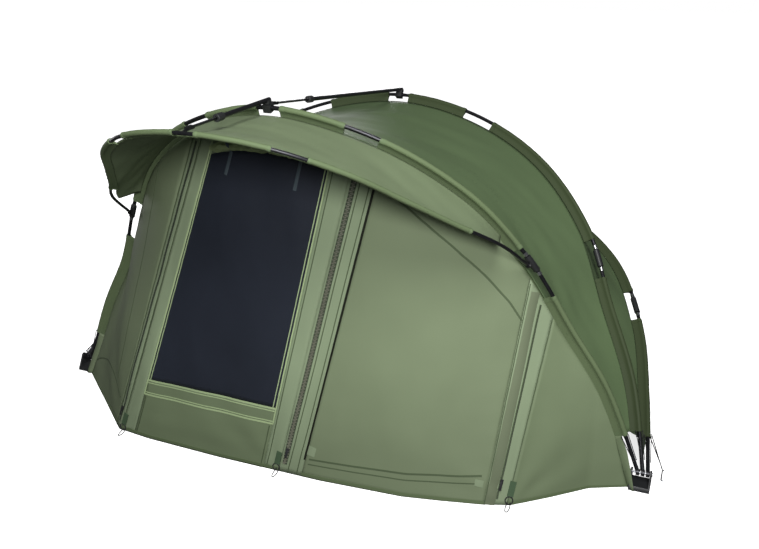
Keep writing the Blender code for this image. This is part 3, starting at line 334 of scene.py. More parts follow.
def noise_of(tree, place, scale, detail, roughness=0.5):
    return add_node(tree, "TexNoise", {"Scale": scale, "Detail": detail, "Roughness": roughness},
                    {"Vector": place}).outputs["Fac"]


def bands_of(tree, place, direction, pitch, distortion):
    return add_node(tree, "TexWave", {"wave_type": "BANDS", "bands_direction": direction, "Scale": WAVE_PERIOD / pitch,
                                      "Distortion": distortion}, {"Vector": place}).outputs["Fac"]


def sum_up(tree, operation, first, second):
    return add_node(tree, "Math", {"operation": operation}, {0: first, 1: second}).outputs[0]


def remap(tree, value, low, high, start=0.0, end=1.0):
    """The value stretched from the range start to end to the range low to high."""
    return add_node(tree, "MapRange", {"From Min": start, "From Max": end, "To Min": low, "To Max": high},
                    {"Value": value}).outputs["Result"]


def bumps_of(tree, height, strength, distance):
    return add_node(tree, "Bump", {"Strength": strength, "Distance": distance}, {"Height": height}).outputs["Normal"]


def shade_by(tree, colour, amount, darker, lighter):
    """A colour varied between two brightnesses of itself."""
    dark = [value * darker for value in colour[:3]] + [1.0]
    light = [min(value * lighter, 1.0) for value in colour[:3]] + [1.0]
    return add_node(tree, "Mix", {"data_type": "RGBA", 6: dark, 7: light}, {0: amount}).outputs[2]


def coated_cloth(tree, shader, colour, roughness=0.62):
    """Polyurethane-coated woven polyester: a soft low gloss, a fine plain weave and faint blotches of wear. The real
    thread pitch, 0.4 mm, is too fine to show, so the weave is drawn at 2.2 mm. The lowest half metre is painted
    darker towards the ground, a painted shade for the light that falls off near the floor."""
    where, solid = cloth_place(tree), object_place(tree)
    threads = sum_up(tree, "MULTIPLY", *(bands_of(tree, where, direction, WEAVE_PITCH, 0.3) for direction in "XY"))
    blotch = noise_of(tree, solid, 3.0, 4.0, 0.55)
    grain = noise_of(tree, solid, 160.0, 2.0)
    amount = add_node(tree, "Math", {"operation": "MULTIPLY_ADD", 1: 0.22}, {0: threads, 2: blotch}).outputs[0]
    # Painted shade: the colour is scaled from 0.74 at the ground up to full at half a metre, as shade near the floor
    height = add_node(tree, "SeparateXYZ", {}, {0: solid}).outputs["Z"]
    painted_low_shade = add_node(tree, "VectorMath", {"operation": "SCALE"},
                    {0: shade_by(tree, colour, amount, 0.9, 1.07), "Scale": remap(tree, height, 0.74, 1.0, 0.0, 0.5)})
    fill_in(tree, shader, {"Specular IOR Level": 0.16},
            {"Base Color": painted_low_shade.outputs["Vector"],
             "Roughness": remap(tree, blotch, roughness - 0.06, roughness + 0.08, 0.3, 0.7),
             "Normal": bumps_of(tree, sum_up(tree, "ADD", threads, grain), 0.12, 0.0004)})


def insect_mesh(tree, shader, colour):
    """Fine knitted polyester mesh: near black, a little shine on its threads. The real 1 mm holes are drawn at 2 mm."""
    cells = add_node(tree, "TexVoronoi", {"feature": "DISTANCE_TO_EDGE", "Scale": 500.0, "Randomness": 0.15},
                     {"Vector": cloth_place(tree)})
    thread = remap(tree, cells.outputs["Distance"], 1.0, 0.0, 0.02, 0.18)
    amount = sum_up(tree, "MULTIPLY", thread, noise_of(tree, object_place(tree), 2.2, 3.0))
    fill_in(tree, shader, {"Roughness": 0.6, "Specular IOR Level": 0.25},
            {"Base Color": shade_by(tree, colour, amount, 0.75, 3.0), "Normal": bumps_of(tree, thread, 0.2, 0.0004)})


def anodised_pole(tree, shader, colour):
    """Drawn aluminium tube, black anodised: satin metal with fine lengthwise streaks that catch the light."""
    streak = noise_of(tree, object_place(tree), 60.0, 4.0)
    fill_in(tree, shader, {"Metallic": 0.75}, {"Base Color": shade_by(tree, colour, streak, 0.75, 1.5),
                                               "Roughness": remap(tree, streak, 0.24, 0.42)})


def bright_metal(tree, shader, colour):
    """Bare aluminium or zinc-plated steel: pale metal with small roughness changes."""
    spots = noise_of(tree, object_place(tree), 240.0, 3.0)
    fill_in(tree, shader, {"Metallic": 1.0}, {"Base Color": shade_by(tree, colour, spots, 0.8, 1.15),
                                              "Roughness": remap(tree, spots, 0.2, 0.38)})


def moulded_plastic(tree, shader, colour):
    """Glass-filled nylon, injection moulded: near black, slightly rough with a fine spark-eroded texture."""
    solid = object_place(tree)
    wear = noise_of(tree, solid, 25.0, 3.0)
    fill_in(tree, shader, {}, {"Base Color": shade_by(tree, colour, wear, 0.8, 1.5),
                               "Roughness": remap(tree, wear, 0.4, 0.6),
                               "Normal": bumps_of(tree, noise_of(tree, solid, 700.0, 3.0), 0.2, 0.0003)})


def woven_webbing(tree, shader, colour, pitch=0.003):
    """Polypropylene webbing and elastic: a coarse ribbed weave, matt, drawn at 3 mm or 4 mm."""
    ribs = bands_of(tree, object_place(tree), "DIAGONAL", pitch, 0.6)
    fill_in(tree, shader, {"Roughness": 0.85}, {"Base Color": shade_by(tree, colour, ribs, 0.7, 1.3),
                                                "Normal": bumps_of(tree, ribs, 0.4, 0.0006)})


# Each finish: the material's name, how it is made and its colour, as a hex value or as one of the panel's colours
FINISHES = {
    "canopy": ("polyester_canopy_coated", coated_cloth, "canopy"),
    "visor": ("polyester_visor_coated", coated_cloth, "#6B785C"),
    "wall": ("polyester_wall_coated", coated_cloth, "wall"),
    "sleeve": ("polyester_sleeve_coated", coated_cloth, "sleeve", 0.66),
    # Painted shade: a darker copy of the sleeve cloth, for the middle and rear sleeves on the tent's shaded side
    "dark_sleeve": ("polyester_sleeve_dark", coated_cloth, "#39432C", 0.66),
    "band": ("polyester_zip_band", coated_cloth, "band", 0.7),
    "piping": ("piping_pale_green", coated_cloth, "piping", 0.6),
    "seam": ("polyester_seam_folded", coated_cloth, "#4E5A42", 0.7),
    "hem": ("polyester_hem_turned", coated_cloth, "#5D6C4E", 0.64),
    # Painted shadow: a near black strip along the middle flap's edge, standing in for the shadow in the groove under it
    "groove": ("polyester_flap_groove", coated_cloth, "#1A1D15", 0.8),
    # Painted shade: the right zip's underlay strip is coloured darker than the wall, as the shade beside the zip
    "shade": ("polyester_zip_underlay", coated_cloth, "#666F58", 0.7),
    # Painted light: the rolled cover is coloured lighter than the wall cloth it is made from, so that it shows in the
    # visor's shadow
    "roll": ("polyester_cover_rolled", coated_cloth, "#89986C", 0.6),
    "tape": ("zip_tape_dark", coated_cloth, "#3E4738", 0.75),
    "mesh": ("insect_mesh_black", insect_mesh, "mesh"),
    "pole": ("aluminium_black_anodised", anodised_pole, "pole"),
    "ferrule": ("aluminium_ferrule_bare", bright_metal, "#B9BBBD"),
    "steel": ("steel_ring_plated", bright_metal, "#9A9CA0"),
    "plastic": ("nylon_black_moulded", moulded_plastic, "plastic"),
    "teeth": ("zip_teeth_grey_nylon", moulded_plastic, "#5C5D50"),
    "coil": ("zip_coil_nylon", moulded_plastic, "#2B3029"),
    "webbing": ("webbing_dark_green", woven_webbing, "webbing"),
    "elastic": ("elastic_black_braided", woven_webbing, "#161718", 0.004),
    "strap": ("toggle_strap_slate", woven_webbing, "#39444A"),
}


def new_finish(name):
    made = bpy.data.materials.new(name)
    made.use_nodes = True
    return made, made.node_tree, made.node_tree.nodes["Principled BSDF"]


def finish(kind):
    """The material of one kind of piece, made when it is first asked for."""
    name, make, colour, *rest = FINISHES[kind]
    made = bpy.data.materials.get(name)
    if made is None:
        made, tree, shader = new_finish(name)
        make(tree, shader, srgb(colour) if colour.startswith("#") else list(getattr(colours(), colour)), *rest)
    return made


# Shapes


def link_piece(name, data, kind):
    thing = bpy.data.objects.new(name, data)
    bpy.context.scene.collection.objects.link(thing)
    data.materials.append(finish(kind))
    data.shade_smooth()
    data.set_sharp_from_angle(angle=math.radians(50))
    return thing


def new_shape():
    shape = bmesh.new()
    shape.loops.layers.uv.new("UVMap")
    return shape


def write_shape(shape, name, kind, closed=False):
    bmesh.ops.remove_doubles(shape, verts=shape.verts, dist=1e-5)
    if closed:
        bmesh.ops.holes_fill(shape, edges=[edge for edge in shape.edges if edge.is_boundary])
    bmesh.ops.recalc_face_normals(shape, faces=shape.faces)
    data = bpy.data.meshes.new(name)
    shape.to_mesh(data)
    shape.free()
    return link_piece(name, data, kind)


def dress(thing, slot, body=None, nodes=()):
    """Says which body a piece rides on and which frame nodes it stands for. Its slot is not used."""
    if body:
        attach(thing, body)
    if nodes:
        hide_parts(*nodes)
    return thing


def cloth_piece(name, columns, rows, surface, kind, size):
    """A sheet of cloth with a real, thin edge, laid on a surface given as a function of two shares. Its UVs are in
    metres."""
    shape = new_shape()
    layer = shape.loops.layers.uv["UVMap"]
    bmesh.ops.create_grid(shape, x_segments=columns, y_segments=rows, size=0.5)
    for face in shape.faces:
        for loop in face.loops:
            loop[layer].uv = ((loop.vert.co.x + 0.5) * size[0], (loop.vert.co.y + 0.5) * size[1])
    for vert in shape.verts:
        vert.co = surface(vert.co.x + 0.5, vert.co.y + 0.5)
    thing = write_shape(shape, name, kind)
    solid = thing.modifiers.new("cloth", "SOLIDIFY")
    solid.thickness = sizes().cloth
    solid.offset = 0.0
    return thing


def sweep(shape, steps, around, place):
    """Adds a band of faces that closes round itself. The function place gives each point from its share of the way
    along and the number of its corner."""
    made = bmesh.ops.create_grid(shape, x_segments=steps, y_segments=around, size=0.5)["verts"]
    for vert in made:
        vert.co = place(vert.co.x + 0.5, round((vert.co.y + 0.5) * around) % around)
    bmesh.ops.remove_doubles(shape, verts=made, dist=1e-6)
    return [vert for vert in made if vert.is_valid]


def close_ends(shape, verts):
    edges = dict.fromkeys(edge for vert in verts for edge in vert.link_edges if edge.is_boundary)
    bmesh.ops.holes_fill(shape, edges=list(edges))


def direction_at(path, index):
    return (path[min(index + 1, len(path) - 1)] - path[max(index - 1, 0)]).normalized()


def add_tube(shape, path, radius, sides):
    """Adds a round tube along the points to the shape."""
    frames = []
    for index in range(len(path)):
        along = direction_at(path, index)
        first = frames[-1][0] if frames else along.orthogonal()
        first = (first - along * first.dot(along)).normalized()
        frames.append((first, along.cross(first)))

    def place(share, corner):
        index = round(share * (len(path) - 1))
        angle = 2 * math.pi * corner / sides
        first, second = frames[index]
        return path[index] + (first * math.cos(angle) + second * math.sin(angle)) * radius
    sweep(shape, len(path) - 1, sides, place)


def add_strip(shape, path, normals, width, thick):
    """Adds a flat band along the points, square to the normals and a little narrower at its top."""
    corners = ((-0.5, 0.0), (0.5, 0.0), (0.42, 1.0), (-0.42, 1.0))

    def place(share, corner):
        index = round(share * (len(path) - 1))
        across, up = corners[corner]
        side = direction_at(path, index).cross(normals[index]).normalized()
        return path[index] + side * (across * width) + normals[index] * (up * thick)
    sweep(shape, len(path) - 1, len(corners), place)


def tube_piece(name, path, radius, kind, sides):
    shape = new_shape()
    add_tube(shape, path, radius, sides)
    return write_shape(shape, name, kind, closed=True)


def soften(node, kind, width):
    """A copy of a hard frame piece with its edges rounded, in its place."""
    shape = bmesh.new()
    shape.from_mesh(frame["nodes"][node].data)
    bmesh.ops.remove_doubles(shape, verts=shape.verts, dist=1e-5)
    turn = 0.2 if kind in ("pole", "steel") else 4.0
    bmesh.ops.dissolve_limit(shape, angle_limit=math.radians(turn), verts=shape.verts, edges=shape.edges)
    data = bpy.data.meshes.new(f"shell_{node}")
    shape.to_mesh(data)
    shape.free()
    thing = link_piece(f"shell_{node}", data, kind)
    if "peg_loop" in node:
        data.materials.append(finish("elastic"))
        low = min(vert.co.z for vert in data.vertices)
        for face in data.polygons:
            face.material_index = int(face.center.z < low + RING_TOP)
    edge = thing.modifiers.new("edge", "BEVEL")
    edge.width = width
    edge.segments = 2
    edge.limit_method = "ANGLE"
    edge.angle_limit = math.radians(40)
    dress(thing, SLOT_OF[node], BODY_OF[node], [node])


def spread(start, end, steps):
    return [start + (end - start) * step / steps for step in range(steps + 1)]


def path_length(points):
    return sum((second - first).length for first, second in zip(points, points[1:]))


def ripple(point, scale, depth, seed=0.0):
    """Soft creases from noise at two sizes."""
    place = point * scale + Vector((seed, seed * 0.7, seed * 1.3))
    return depth * (noise.noise(place) + 0.35 * noise.noise(place * 2.7))


def canopy_surface(first_edge, second_edge, centre, sag, seed):
    """A taut curved panel between two edges: sag between them, tension creases that fade at the seams."""
    depth = sizes().crease

    def point(across, along):
        first, second = first_edge(across), second_edge(across)
        at = first.lerp(second, along)
        full = 4 * along * (1 - along)
        at += (centre - at).normalized() * (sag * full * (first - second).length)
        body = full ** 0.6
        stretched = Vector((at.x * 0.6, at.y * 2.2, at.z * 1.1))
        pull = 0.5 * depth * math.sin(across * 61.0 + 1.5 * math.sin(along * 5.0)) * (1 - body) * 0.6
        pull *= min(4 * along, 4 - 4 * along, 1)
        return at + (centre - at).normalized() * (ripple(stretched, 2.6, depth * 1.6, seed) * body + pull)
    return point


SHEET_EASE, SLEEVE_EASE = 1.01, 1.02  # what the cut rectangle has over the finished cloth


def measured_area(thing):
    return sum(face.area for face in thing.data.polygons)


def declare_sheet(thing, surface):
    """Works out a stretched cloth's own measured area and the rectangle that it is cut from, and keeps neither.
    A triangle fills half of its rectangle, so no panel fills less."""
    area = measured_area(thing)
    width = max(path_length([surface(across, along) for across in spread(0.0, 1.0, 40)])
                for along in spread(0.0, 1.0, 8))
    length = max(path_length([surface(across, along) for along in spread(0.0, 1.0, 40)])
                 for across in spread(0.0, 1.0, 8))
    width = min(max(width, area / length), 2 * area / length) * SHEET_EASE


# The canopy, the rear wall, the visor and the sleeves. A fold is half the width of a zone in which a cloth would bend
# between its two ribs, though no cloth is bent; the last turn of each cloth is measured from the foot.
FRONT_FOLD, REAR_FOLD, WALL_FOLD, VISOR_FOLD = 0.28, 0.1, 0.06, 0.12
HEM_TURN, HEM_UP = 0.005, 0.001
CROWN_BULGE, CROWN_HALF = 0.2, 0.32
VISOR_END_TURN = 0.075
POCKET_EASE, NECK_HALF, BLADE_HALF = 0.0024, 0.0026, 0.0014
CUFF_START, CUFF_END, CUFF_OVER = 0.0002, 0.0042, 0.0011
SLEEVE_STEPS, BAND_STEPS = 190, 150


def bend_between(thing, pivot):
    """Bakes the cloth's transform into its mesh; the cloth is not bent."""
    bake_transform(thing)


def build_canopy():
    """The front and rear panels of the canopy, then the rear wall."""
    ribs = all_ribs()
    s = sizes()

    def edge(label, behind):
        return lambda across: rib_point(ribs[label], FOOT_TURN + (1 - 2 * FOOT_TURN) * across, CANOPY_INSET, behind)
    panels = (
        ("front", "middle", "front", 1.0, (3.9, 1.2), ["front_rib_sleeve", "middle_rib_sleeve"], MIDDLE_LEAN,
         FRONT_EDGE_LEAN, FRONT_FOLD),
        ("rear", "rear", "middle", 4.0, (4.2, 0.8), ["middle_rib_sleeve", "rear_rib_sleeve"], REAR_LEAN, MIDDLE_LEAN,
         REAR_FOLD),
    )
    for word, still, moving, seed, size, rests_on, still_lean, moving_lean, half in panels:
        surface = canopy_surface(edge(still, -CANOPY_BEHIND), edge(moving, CANOPY_BEHIND), HUB, s.sag, seed)
        thing = cloth_piece(f"cloth_{word}_canopy", 150, 36, surface, "canopy", size)
        dress(thing, "canopy_cloth", nodes=[f"{word}_canopy"])
        bend_between(thing, HUB)
        declare_sheet(thing, surface)
    low = HUB + Vector((0.0, REAR_GROUND[1] * 0.5, 0.0))

    def hem(across):
        return rear_ground(HEM_TURN + (1 - 2 * HEM_TURN) * across) + Vector((0.0, 0.0, HEM_UP))
    taut = canopy_surface(hem, edge("rear", CANOPY_BEHIND), low, s.sag * 0.5, 7.0)

    def surface(across, along):
        """The rear wall, which stands out at its crown, so that the rib folds down inside it."""
        at = taut(across, along)
        bulge = CROWN_BULGE * along * (1 - along) * max(1 - ((across - 0.5) / CROWN_HALF) ** 2, 0.0)
        return at + (at - low).normalized() * bulge
    wall = cloth_piece("cloth_rear_wall", 150, 36, surface, "canopy", (4.4, 0.9))
    dress(wall, "canopy_cloth", nodes=["rear_wall"])
    bend_between(wall, HUB)
    declare_sheet(wall, surface)


def build_visor():
    """The visor's cloth, from the front rib to the visor's hoop."""
    ribs = all_ribs()
    visor, front = ribs["visor"], ribs["front"]
    low = visor.pivot - Vector((0.0, 0.0, VISOR_REACH))

    def hoop_turn(across):
        return VISOR_END_TURN + (1 - 2 * VISOR_END_TURN) * across

    def front_edge(across):
        return rib_point(visor, hoop_turn(across), visor.fin - 0.005, 0.003)

    def back_edge(across):
        return rib_point(front, VISOR_PIVOT_TURN + (1 - 2 * VISOR_PIVOT_TURN) * hoop_turn(across), 0.024, -0.013)
    surface = canopy_surface(back_edge, front_edge, low, 0.02, 11.0)
    thing = cloth_piece("cloth_visor", 110, 26, surface, "visor", (2.4, 0.6))
    dress(thing, "canopy_cloth", nodes=["visor_panel"])
    bend_between(thing, visor.pivot)
    declare_sheet(thing, surface)


def sleeve_parts(start, windows):
    """The stretches of a sleeve between its windows, as turns."""
    cuts = []
    for first, second in windows:
        cuts.append((first, second))
        if second <= 0.5:
            cuts.append((1 - second, 1 - first))
    cuts.sort()
    edges = [start] + [turn for cut in cuts for turn in cut] + [1 - start]
    return list(zip(edges[::2], edges[1::2]))


def build_sleeves():
    """The pockets round the poles, with their windows, cuffs and the seam that joins them."""
    ribs = all_ribs()
    rows = (("front", "front_rib_sleeve", FOOT_TURN, FRONT_WINDOWS, "front_rib", "front_rib_crown_pole"),
            ("middle", "middle_rib_sleeve", FOOT_TURN, MIDDLE_WINDOWS, "middle_rib", "middle_rib_crown_pole"),
            ("rear", "rear_rib_sleeve", FOOT_TURN, REAR_WINDOWS, "rear_rib", "rear_rib_crown_pole"),
            ("visor", "visor_sleeve", VISOR_SLEEVE_TURN, VISOR_WINDOWS, "visor", "visor_hoop_pole"))
    for label, node, start, windows, body, pole in rows:
        rib = ribs[label]
        shape, cuffs = new_shape(), new_shape()
        for low, high in sleeve_parts(start, windows):
            add_sleeve(shape, rib, low, high)
            for end, side in ((low, 1), (high, -1)):
                add_sleeve(cuffs, rib, *sorted((end + side * CUFF_START, end + side * CUFF_END)), CUFF_OVER)
        add_band(shape, rib, start, 1 - start)
        # Painted shade: the middle and rear sleeves and their cuffs take the darker copy of the sleeve cloth
        dark = label in ("middle", "rear")
        thing = write_shape(shape, f"cloth_{label}_sleeve", "dark_sleeve" if dark else "sleeve")
        dress(thing, "sleeve_cloth", body, [node])
        hem = write_shape(cuffs, f"cloth_{label}_sleeve_cuffs", "dark_sleeve" if dark else "hem")
        dress(hem, "sleeve_cloth", body)
        area = measured_area(thing) * 0.5
        length = path_length(rib_path(rib, start, 1 - start, 60))


def add_sleeve(shape, rib, low, high, over=0.0):
    """One stretch of sleeve: a pocket round the pole, drawn in to a flat double blade, puckered at its seams.
    A cuff is the same, turned over the sleeve's end."""
    outer = rib.pole + POCKET_EASE + over
    tip = -rib.fin * (0.97 if over else 1.0)
    profile = [(outer * math.cos(math.radians(angle)), outer * math.sin(math.radians(angle)))
               for angle in spread(-150.0, 150.0, 12)]
    profile += [(-rib.fin * 0.45, NECK_HALF + over), (tip, BLADE_HALF + over), (tip, -BLADE_HALF - over),
                (-rib.fin * 0.45, -NECK_HALF - over)]

    def place(share, corner):
        turn = low + (high - low) * share
        out, side = profile[corner]
        ahead, outward, back = rib_axes(rib, turn)
        if out > -rib.fin * 0.4:
            swell = 1.0 + 0.1 * noise.noise(Vector((turn * 160, corner * 0.6, rib.fin * 90)))
            out, side = out * swell, side * swell
        else:
            side += 0.0012 * noise.noise(Vector((turn * 120, corner, 3.0)))
        tuck = 0.0 if min(share, 1 - share) > 0.001 else 0.0012
        return rib_point(rib, turn) + outward * (out - tuck) + back * side
    close_ends(shape, sweep(shape, max(int((high - low) * SLEEVE_STEPS), 3), len(profile), place))


def add_band(shape, rib, low, high):
    """The continuous seam that carries the sleeve past its windows."""
    corners = [(-rib.fin * 0.84, 0.0012), (-rib.fin, 0.0016), (-rib.fin, -0.0016), (-rib.fin * 0.84, -0.0012)]

    def place(share, corner):
        turn = low + (high - low) * share
        out, side = corners[corner]
        ahead, outward, back = rib_axes(rib, turn)
        return rib_point(rib, turn) + outward * out + back * side
    close_ends(shape, sweep(shape, int((high - low) * BAND_STEPS), len(corners), place))


WALL_STEP = 0.01  # the step over which the wall's slope is measured
# The front wall: each piece's name, node, seams, height as shares, finish, columns, rows and slot
WALL_PIECES = (
    ("cloth_left_wing", "left_wing_panel", LEFT_END, LEFT_ZIP_OUTER, 0.0, 1.0, "wall", 40, 40, "canopy_cloth"),
    ("cloth_left_zip_tape", "left_zip_tape", LEFT_ZIP_OUTER, LEFT_ZIP_INNER, 0.0, 1.0, "band", 6, 50, "zip_tape"),
    ("cloth_door_left_band", "door_left_band", LEFT_ZIP_INNER, MESH_LEFT, 0.0, 1.0, "band", 6, 50, "zip_tape"),
    ("cloth_kick_panel", "door_kick_panel", MESH_LEFT, MESH_RIGHT, 0.0, KICK, "visor", 36, 14, "canopy_cloth"),
    ("cloth_mesh_window", "door_mesh_window", MESH_LEFT, MESH_RIGHT, KICK, MESH_TOP, "mesh", 36, 44, "mesh_cloth"),
    ("cloth_head_band", "door_head_band", MESH_LEFT, MESH_RIGHT, MESH_TOP, 1.0, "wall", 36, 8, "canopy_cloth"),
    ("cloth_door_right_band", "door_right_band", MESH_RIGHT, MIDDLE_ZIP, 0.0, 1.0, "band", 6, 50, "zip_tape"),
    ("cloth_middle_zip_tape", "middle_zip_tape", MIDDLE_ZIP, FLAP_EDGE, 0.0, 1.0, "band", 10, 50, "zip_tape"),
    ("cloth_right_window", "right_window_panel", FLAP_EDGE, RIGHT_ZIP_INNER, 0.0, 1.0, "wall", 56, 44,
     "canopy_cloth"),
    ("cloth_right_zip_tape", "right_zip_tape", RIGHT_ZIP_INNER, RIGHT_ZIP_OUTER, 0.0, 1.0, "band", 8, 40, "zip_tape"),
    ("cloth_right_wing", "right_wing_panel", RIGHT_ZIP_OUTER, RIGHT_END, 0.0, 1.0, "visor", 32, 32, "canopy_cloth"),
)


def wall_out(point, across, up):
    """The wall's outward normal at a place."""
    side = point(min(across + WALL_STEP, 1.0), up) - point(max(across - WALL_STEP, 0.0), up)
    rise = point(across, min(up + WALL_STEP, 1.0)) - point(across, max(up - WALL_STEP, 0.0))
    out = side.cross(rise).normalized()
    return -out if out.y > 0 else out


PEG_CREASE_REACH = 0.55


def peg_creases(at):
    """Creases that run up the cloth from the peg points and fade within half a metre."""
    push = 0.0
    for share, strength in PEG_FEET:
        foot = front_ground(share)
        away = at - foot
        reach = away.length
        angle = math.atan2(away.x, away.z + 0.02)
        fade = max(0.0, 1.0 - reach / PEG_CREASE_REACH) * min(1.0, reach / 0.05)
        push += strength * fade * math.sin(angle * 9.0 + share * 5.0)
    return push


def wall_cloth(front, left, right):
    """The cloth's own surface between two seams, with its creases and the puckers along its seams."""
    flat = wall_surface(front, left, right)
    depth = sizes().crease
    seed = left.foot * 10

    def point(across, up):
        at = flat(across, up)
        edge = max(4 * across * (1 - across), 0.0) ** 0.5 * min(1.0, 6 * up, 12 * (1 - up))
        wide = Vector((at.x * 1.6, seed, at.z * 0.7))
        push = ripple(wide, 3.0, depth * 1.3, seed * 2.1) * edge
        push += peg_creases(at) * depth * 0.9 * min(1.0, 4 * (1 - up)) * min(1.0, edge * 2)
        pucker = depth * 0.22 * math.sin(at.z * 75 + seed) * (1 - edge) * 0.5
        return at + wall_out(flat, across, up) * (push + pucker)
    return point


def build_wall():
    """The front wall's panels, bands and mesh, each its own piece between two seams."""
    front = all_ribs()["front"]
    for name, node, left, right, low, high, kind, columns, rows, slot in WALL_PIECES:
        cloth = wall_cloth(front, left, right)

        def surface(across, along, cloth=cloth, low=low, high=high):
            return cloth(across, low + (high - low) * along)
        width = (cloth(1.0, 0.5) - cloth(0.0, 0.5)).length
        tall = (cloth(0.5, high) - cloth(0.5, low)).length
        thing = cloth_piece(name, columns, rows, surface, kind, (width, tall))
        dress(thing, slot, "front_rib", [node])
        declare_sheet(thing, surface)


def place_on_wall(point, x, z):
    """The shares on a wall piece whose place is nearest to x and z."""
    across, up = 0.5, 0.5
    for _ in range(30):
        at = point(across, up)
        wide = point(min(across + WALL_STEP, 1.0), up) - point(max(across - WALL_STEP, 0.0), up)
        tall = point(across, min(up + WALL_STEP, 1.0)) - point(across, max(up - WALL_STEP, 0.0))
        across = min(max(across + 2 * WALL_STEP * (x - at.x) / wide.x, 0.0), 1.0)
        up = min(max(up + 2 * WALL_STEP * (z - at.z) / tall.z, 0.0), 1.0)
    return across, up


def filled_in(places, steps=40):
    """The places with even steps added between them."""
    lengths = [math.dist(first, second) for first, second in zip(places, places[1:])]
    result = []
    for step in range(steps + 1):
        far, index = sum(lengths) * step / steps, 0
        while index < len(lengths) - 1 and far > lengths[index]:
            far -= lengths[index]
            index += 1
        share = min(far / lengths[index], 1.0)
        result.append(tuple(a + (b - a) * share for a, b in zip(places[index], places[index + 1])))
    return result


def lay_strip(shape, point, places, width, thick, lift=0.0006):
    """Adds a band that follows a wall piece through the places, given as shares."""
    path, normals = [], []
    for across, up in places:
        out = wall_out(point, across, up)
        path.append(point(across, up) + out * lift)
        normals.append(out)
    add_strip(shape, path, normals, width, thick)


def upright(across, low=0.0, high=1.0, steps=44):
    return [(across, up) for up in spread(low, high, steps)]


def level(up, steps):
    return [(across, up) for across in spread(0.0, 1.0, steps)]


def trim_piece(shape, name, kind, slot="canopy_cloth"):
    return dress(write_shape(shape, name, kind, closed=True), slot, "front_rib")


def build_door_trim():
    """Piping round the mesh window, the pale stripes under it, and the seams, hems and patches of the wall."""
    front = all_ribs()["front"]
    door = wall_cloth(front, MESH_LEFT, MESH_RIGHT)
    wing = wall_cloth(front, LEFT_END, LEFT_ZIP_OUTER)
    window = wall_cloth(front, FLAP_EDGE, RIGHT_ZIP_INNER)
    piping, seams, patches, hems, straps = (new_shape() for _ in range(5))
    for across, inner in ((0.0, 0.022), (1.0, 0.978)):
        path = [door(across, up) + wall_out(door, across, up) * 0.001 for up in spread(KICK - 0.053, 0.985, 40)]
        add_tube(piping, path, sizes().piping, 8)
        lay_strip(piping, door, upright(inner, KICK - 0.002, 0.93), 0.004, 0.002)
    for up, width in ((-0.002, 0.008), (-0.0105, 0.004), (-0.0445, 0.004), (-0.0525, 0.007)):
        lay_strip(piping, door, level(KICK + up, 40), width, 0.0022)
    trim_piece(piping, "trim_window_piping", "piping", "zip_tape")
    lay_strip(seams, wing, filled_in([(0.04, 0.30), (0.3, 0.25), (0.6, 0.185), (0.95, 0.1)], 40), 0.006, 0.0012)
    lay_strip(seams, wing, upright(0.82, 0.16, 0.97), 0.004, 0.001)
    for across in (0.02, 0.98):
        lay_strip(seams, door, upright(across, 0.0, KICK - 0.06, 24), 0.005, 0.0012)
    curve = [place_on_wall(window, x, z) for x, z in
             ((0.40, 1.195), (0.467, 1.139), (0.523, 1.086), (0.583, 1.03), (0.66, 0.952), (0.738, 0.868),
              (0.82, 0.765), (0.875, 0.69))]
    lay_strip(seams, window, filled_in(curve, 60), 0.008, 0.001)
    foot = filled_in([place_on_wall(window, x, z) for x, z in
                      ((0.115, 0.085), (0.3, 0.088), (0.5, 0.094), (0.7, 0.102), (0.79, 0.108))], 60)
    lay_strip(seams, window, foot, 0.008, 0.0012)
    lay_strip(seams, window, [(across, up * 0.72) for across, up in foot], 0.005, 0.001)
    trim_piece(seams, "trim_wall_seams", "seam")
    for across in (0.025, 0.955):
        lay_strip(patches, window, [(across, up) for up in (0.078, 0.088, 0.098, 0.108)], 0.034, 0.0016)
    trim_piece(patches, "trim_corner_patches", "band")
    for left, right in ((LEFT_END, LEFT_ZIP_OUTER), (LEFT_ZIP_INNER, MIDDLE_ZIP), (FLAP_EDGE, RIGHT_ZIP_INNER),
                        (RIGHT_ZIP_OUTER, RIGHT_END)):
        lay_strip(hems, wall_cloth(front, left, right), level(0.009, 30), 0.014, 0.0016)
    trim_piece(hems, "trim_wall_hems", "sleeve")
    for across, low in zip(STRAP_PLACES, (0.855, 0.835)):
        lay_strip(straps, door, upright(across, low, MESH_TOP, 8), 0.013, 0.0014, 0.0012)
    trim_piece(straps, "trim_toggle_straps", "strap")


def zip_teeth(shape, path, normals, width, pitch):
    """Rows of coil teeth along a zip, alternately from each side."""
    count = int(path_length(path) / pitch)
    for index in range(count):
        share = (index + 0.5) / count * (len(path) - 1)
        first = min(int(share), len(path) - 2)
        place = path[first].lerp(path[first + 1], share - first)
        along = (path[first + 1] - path[first]).normalized()
        out = normals[first]
        side = along.cross(out).normalized()
        made = bmesh.ops.create_cube(shape, size=1.0)["verts"]
        shift = side * (width * 0.14 * (1 if index % 2 else -1))
        axes = Matrix((side * width * 0.72, out * width * 0.3, along * pitch * 0.6)).transposed().to_4x4()
        bmesh.ops.transform(shape, matrix=Matrix.Translation(place + shift + out * 0.001) @ axes, verts=made)


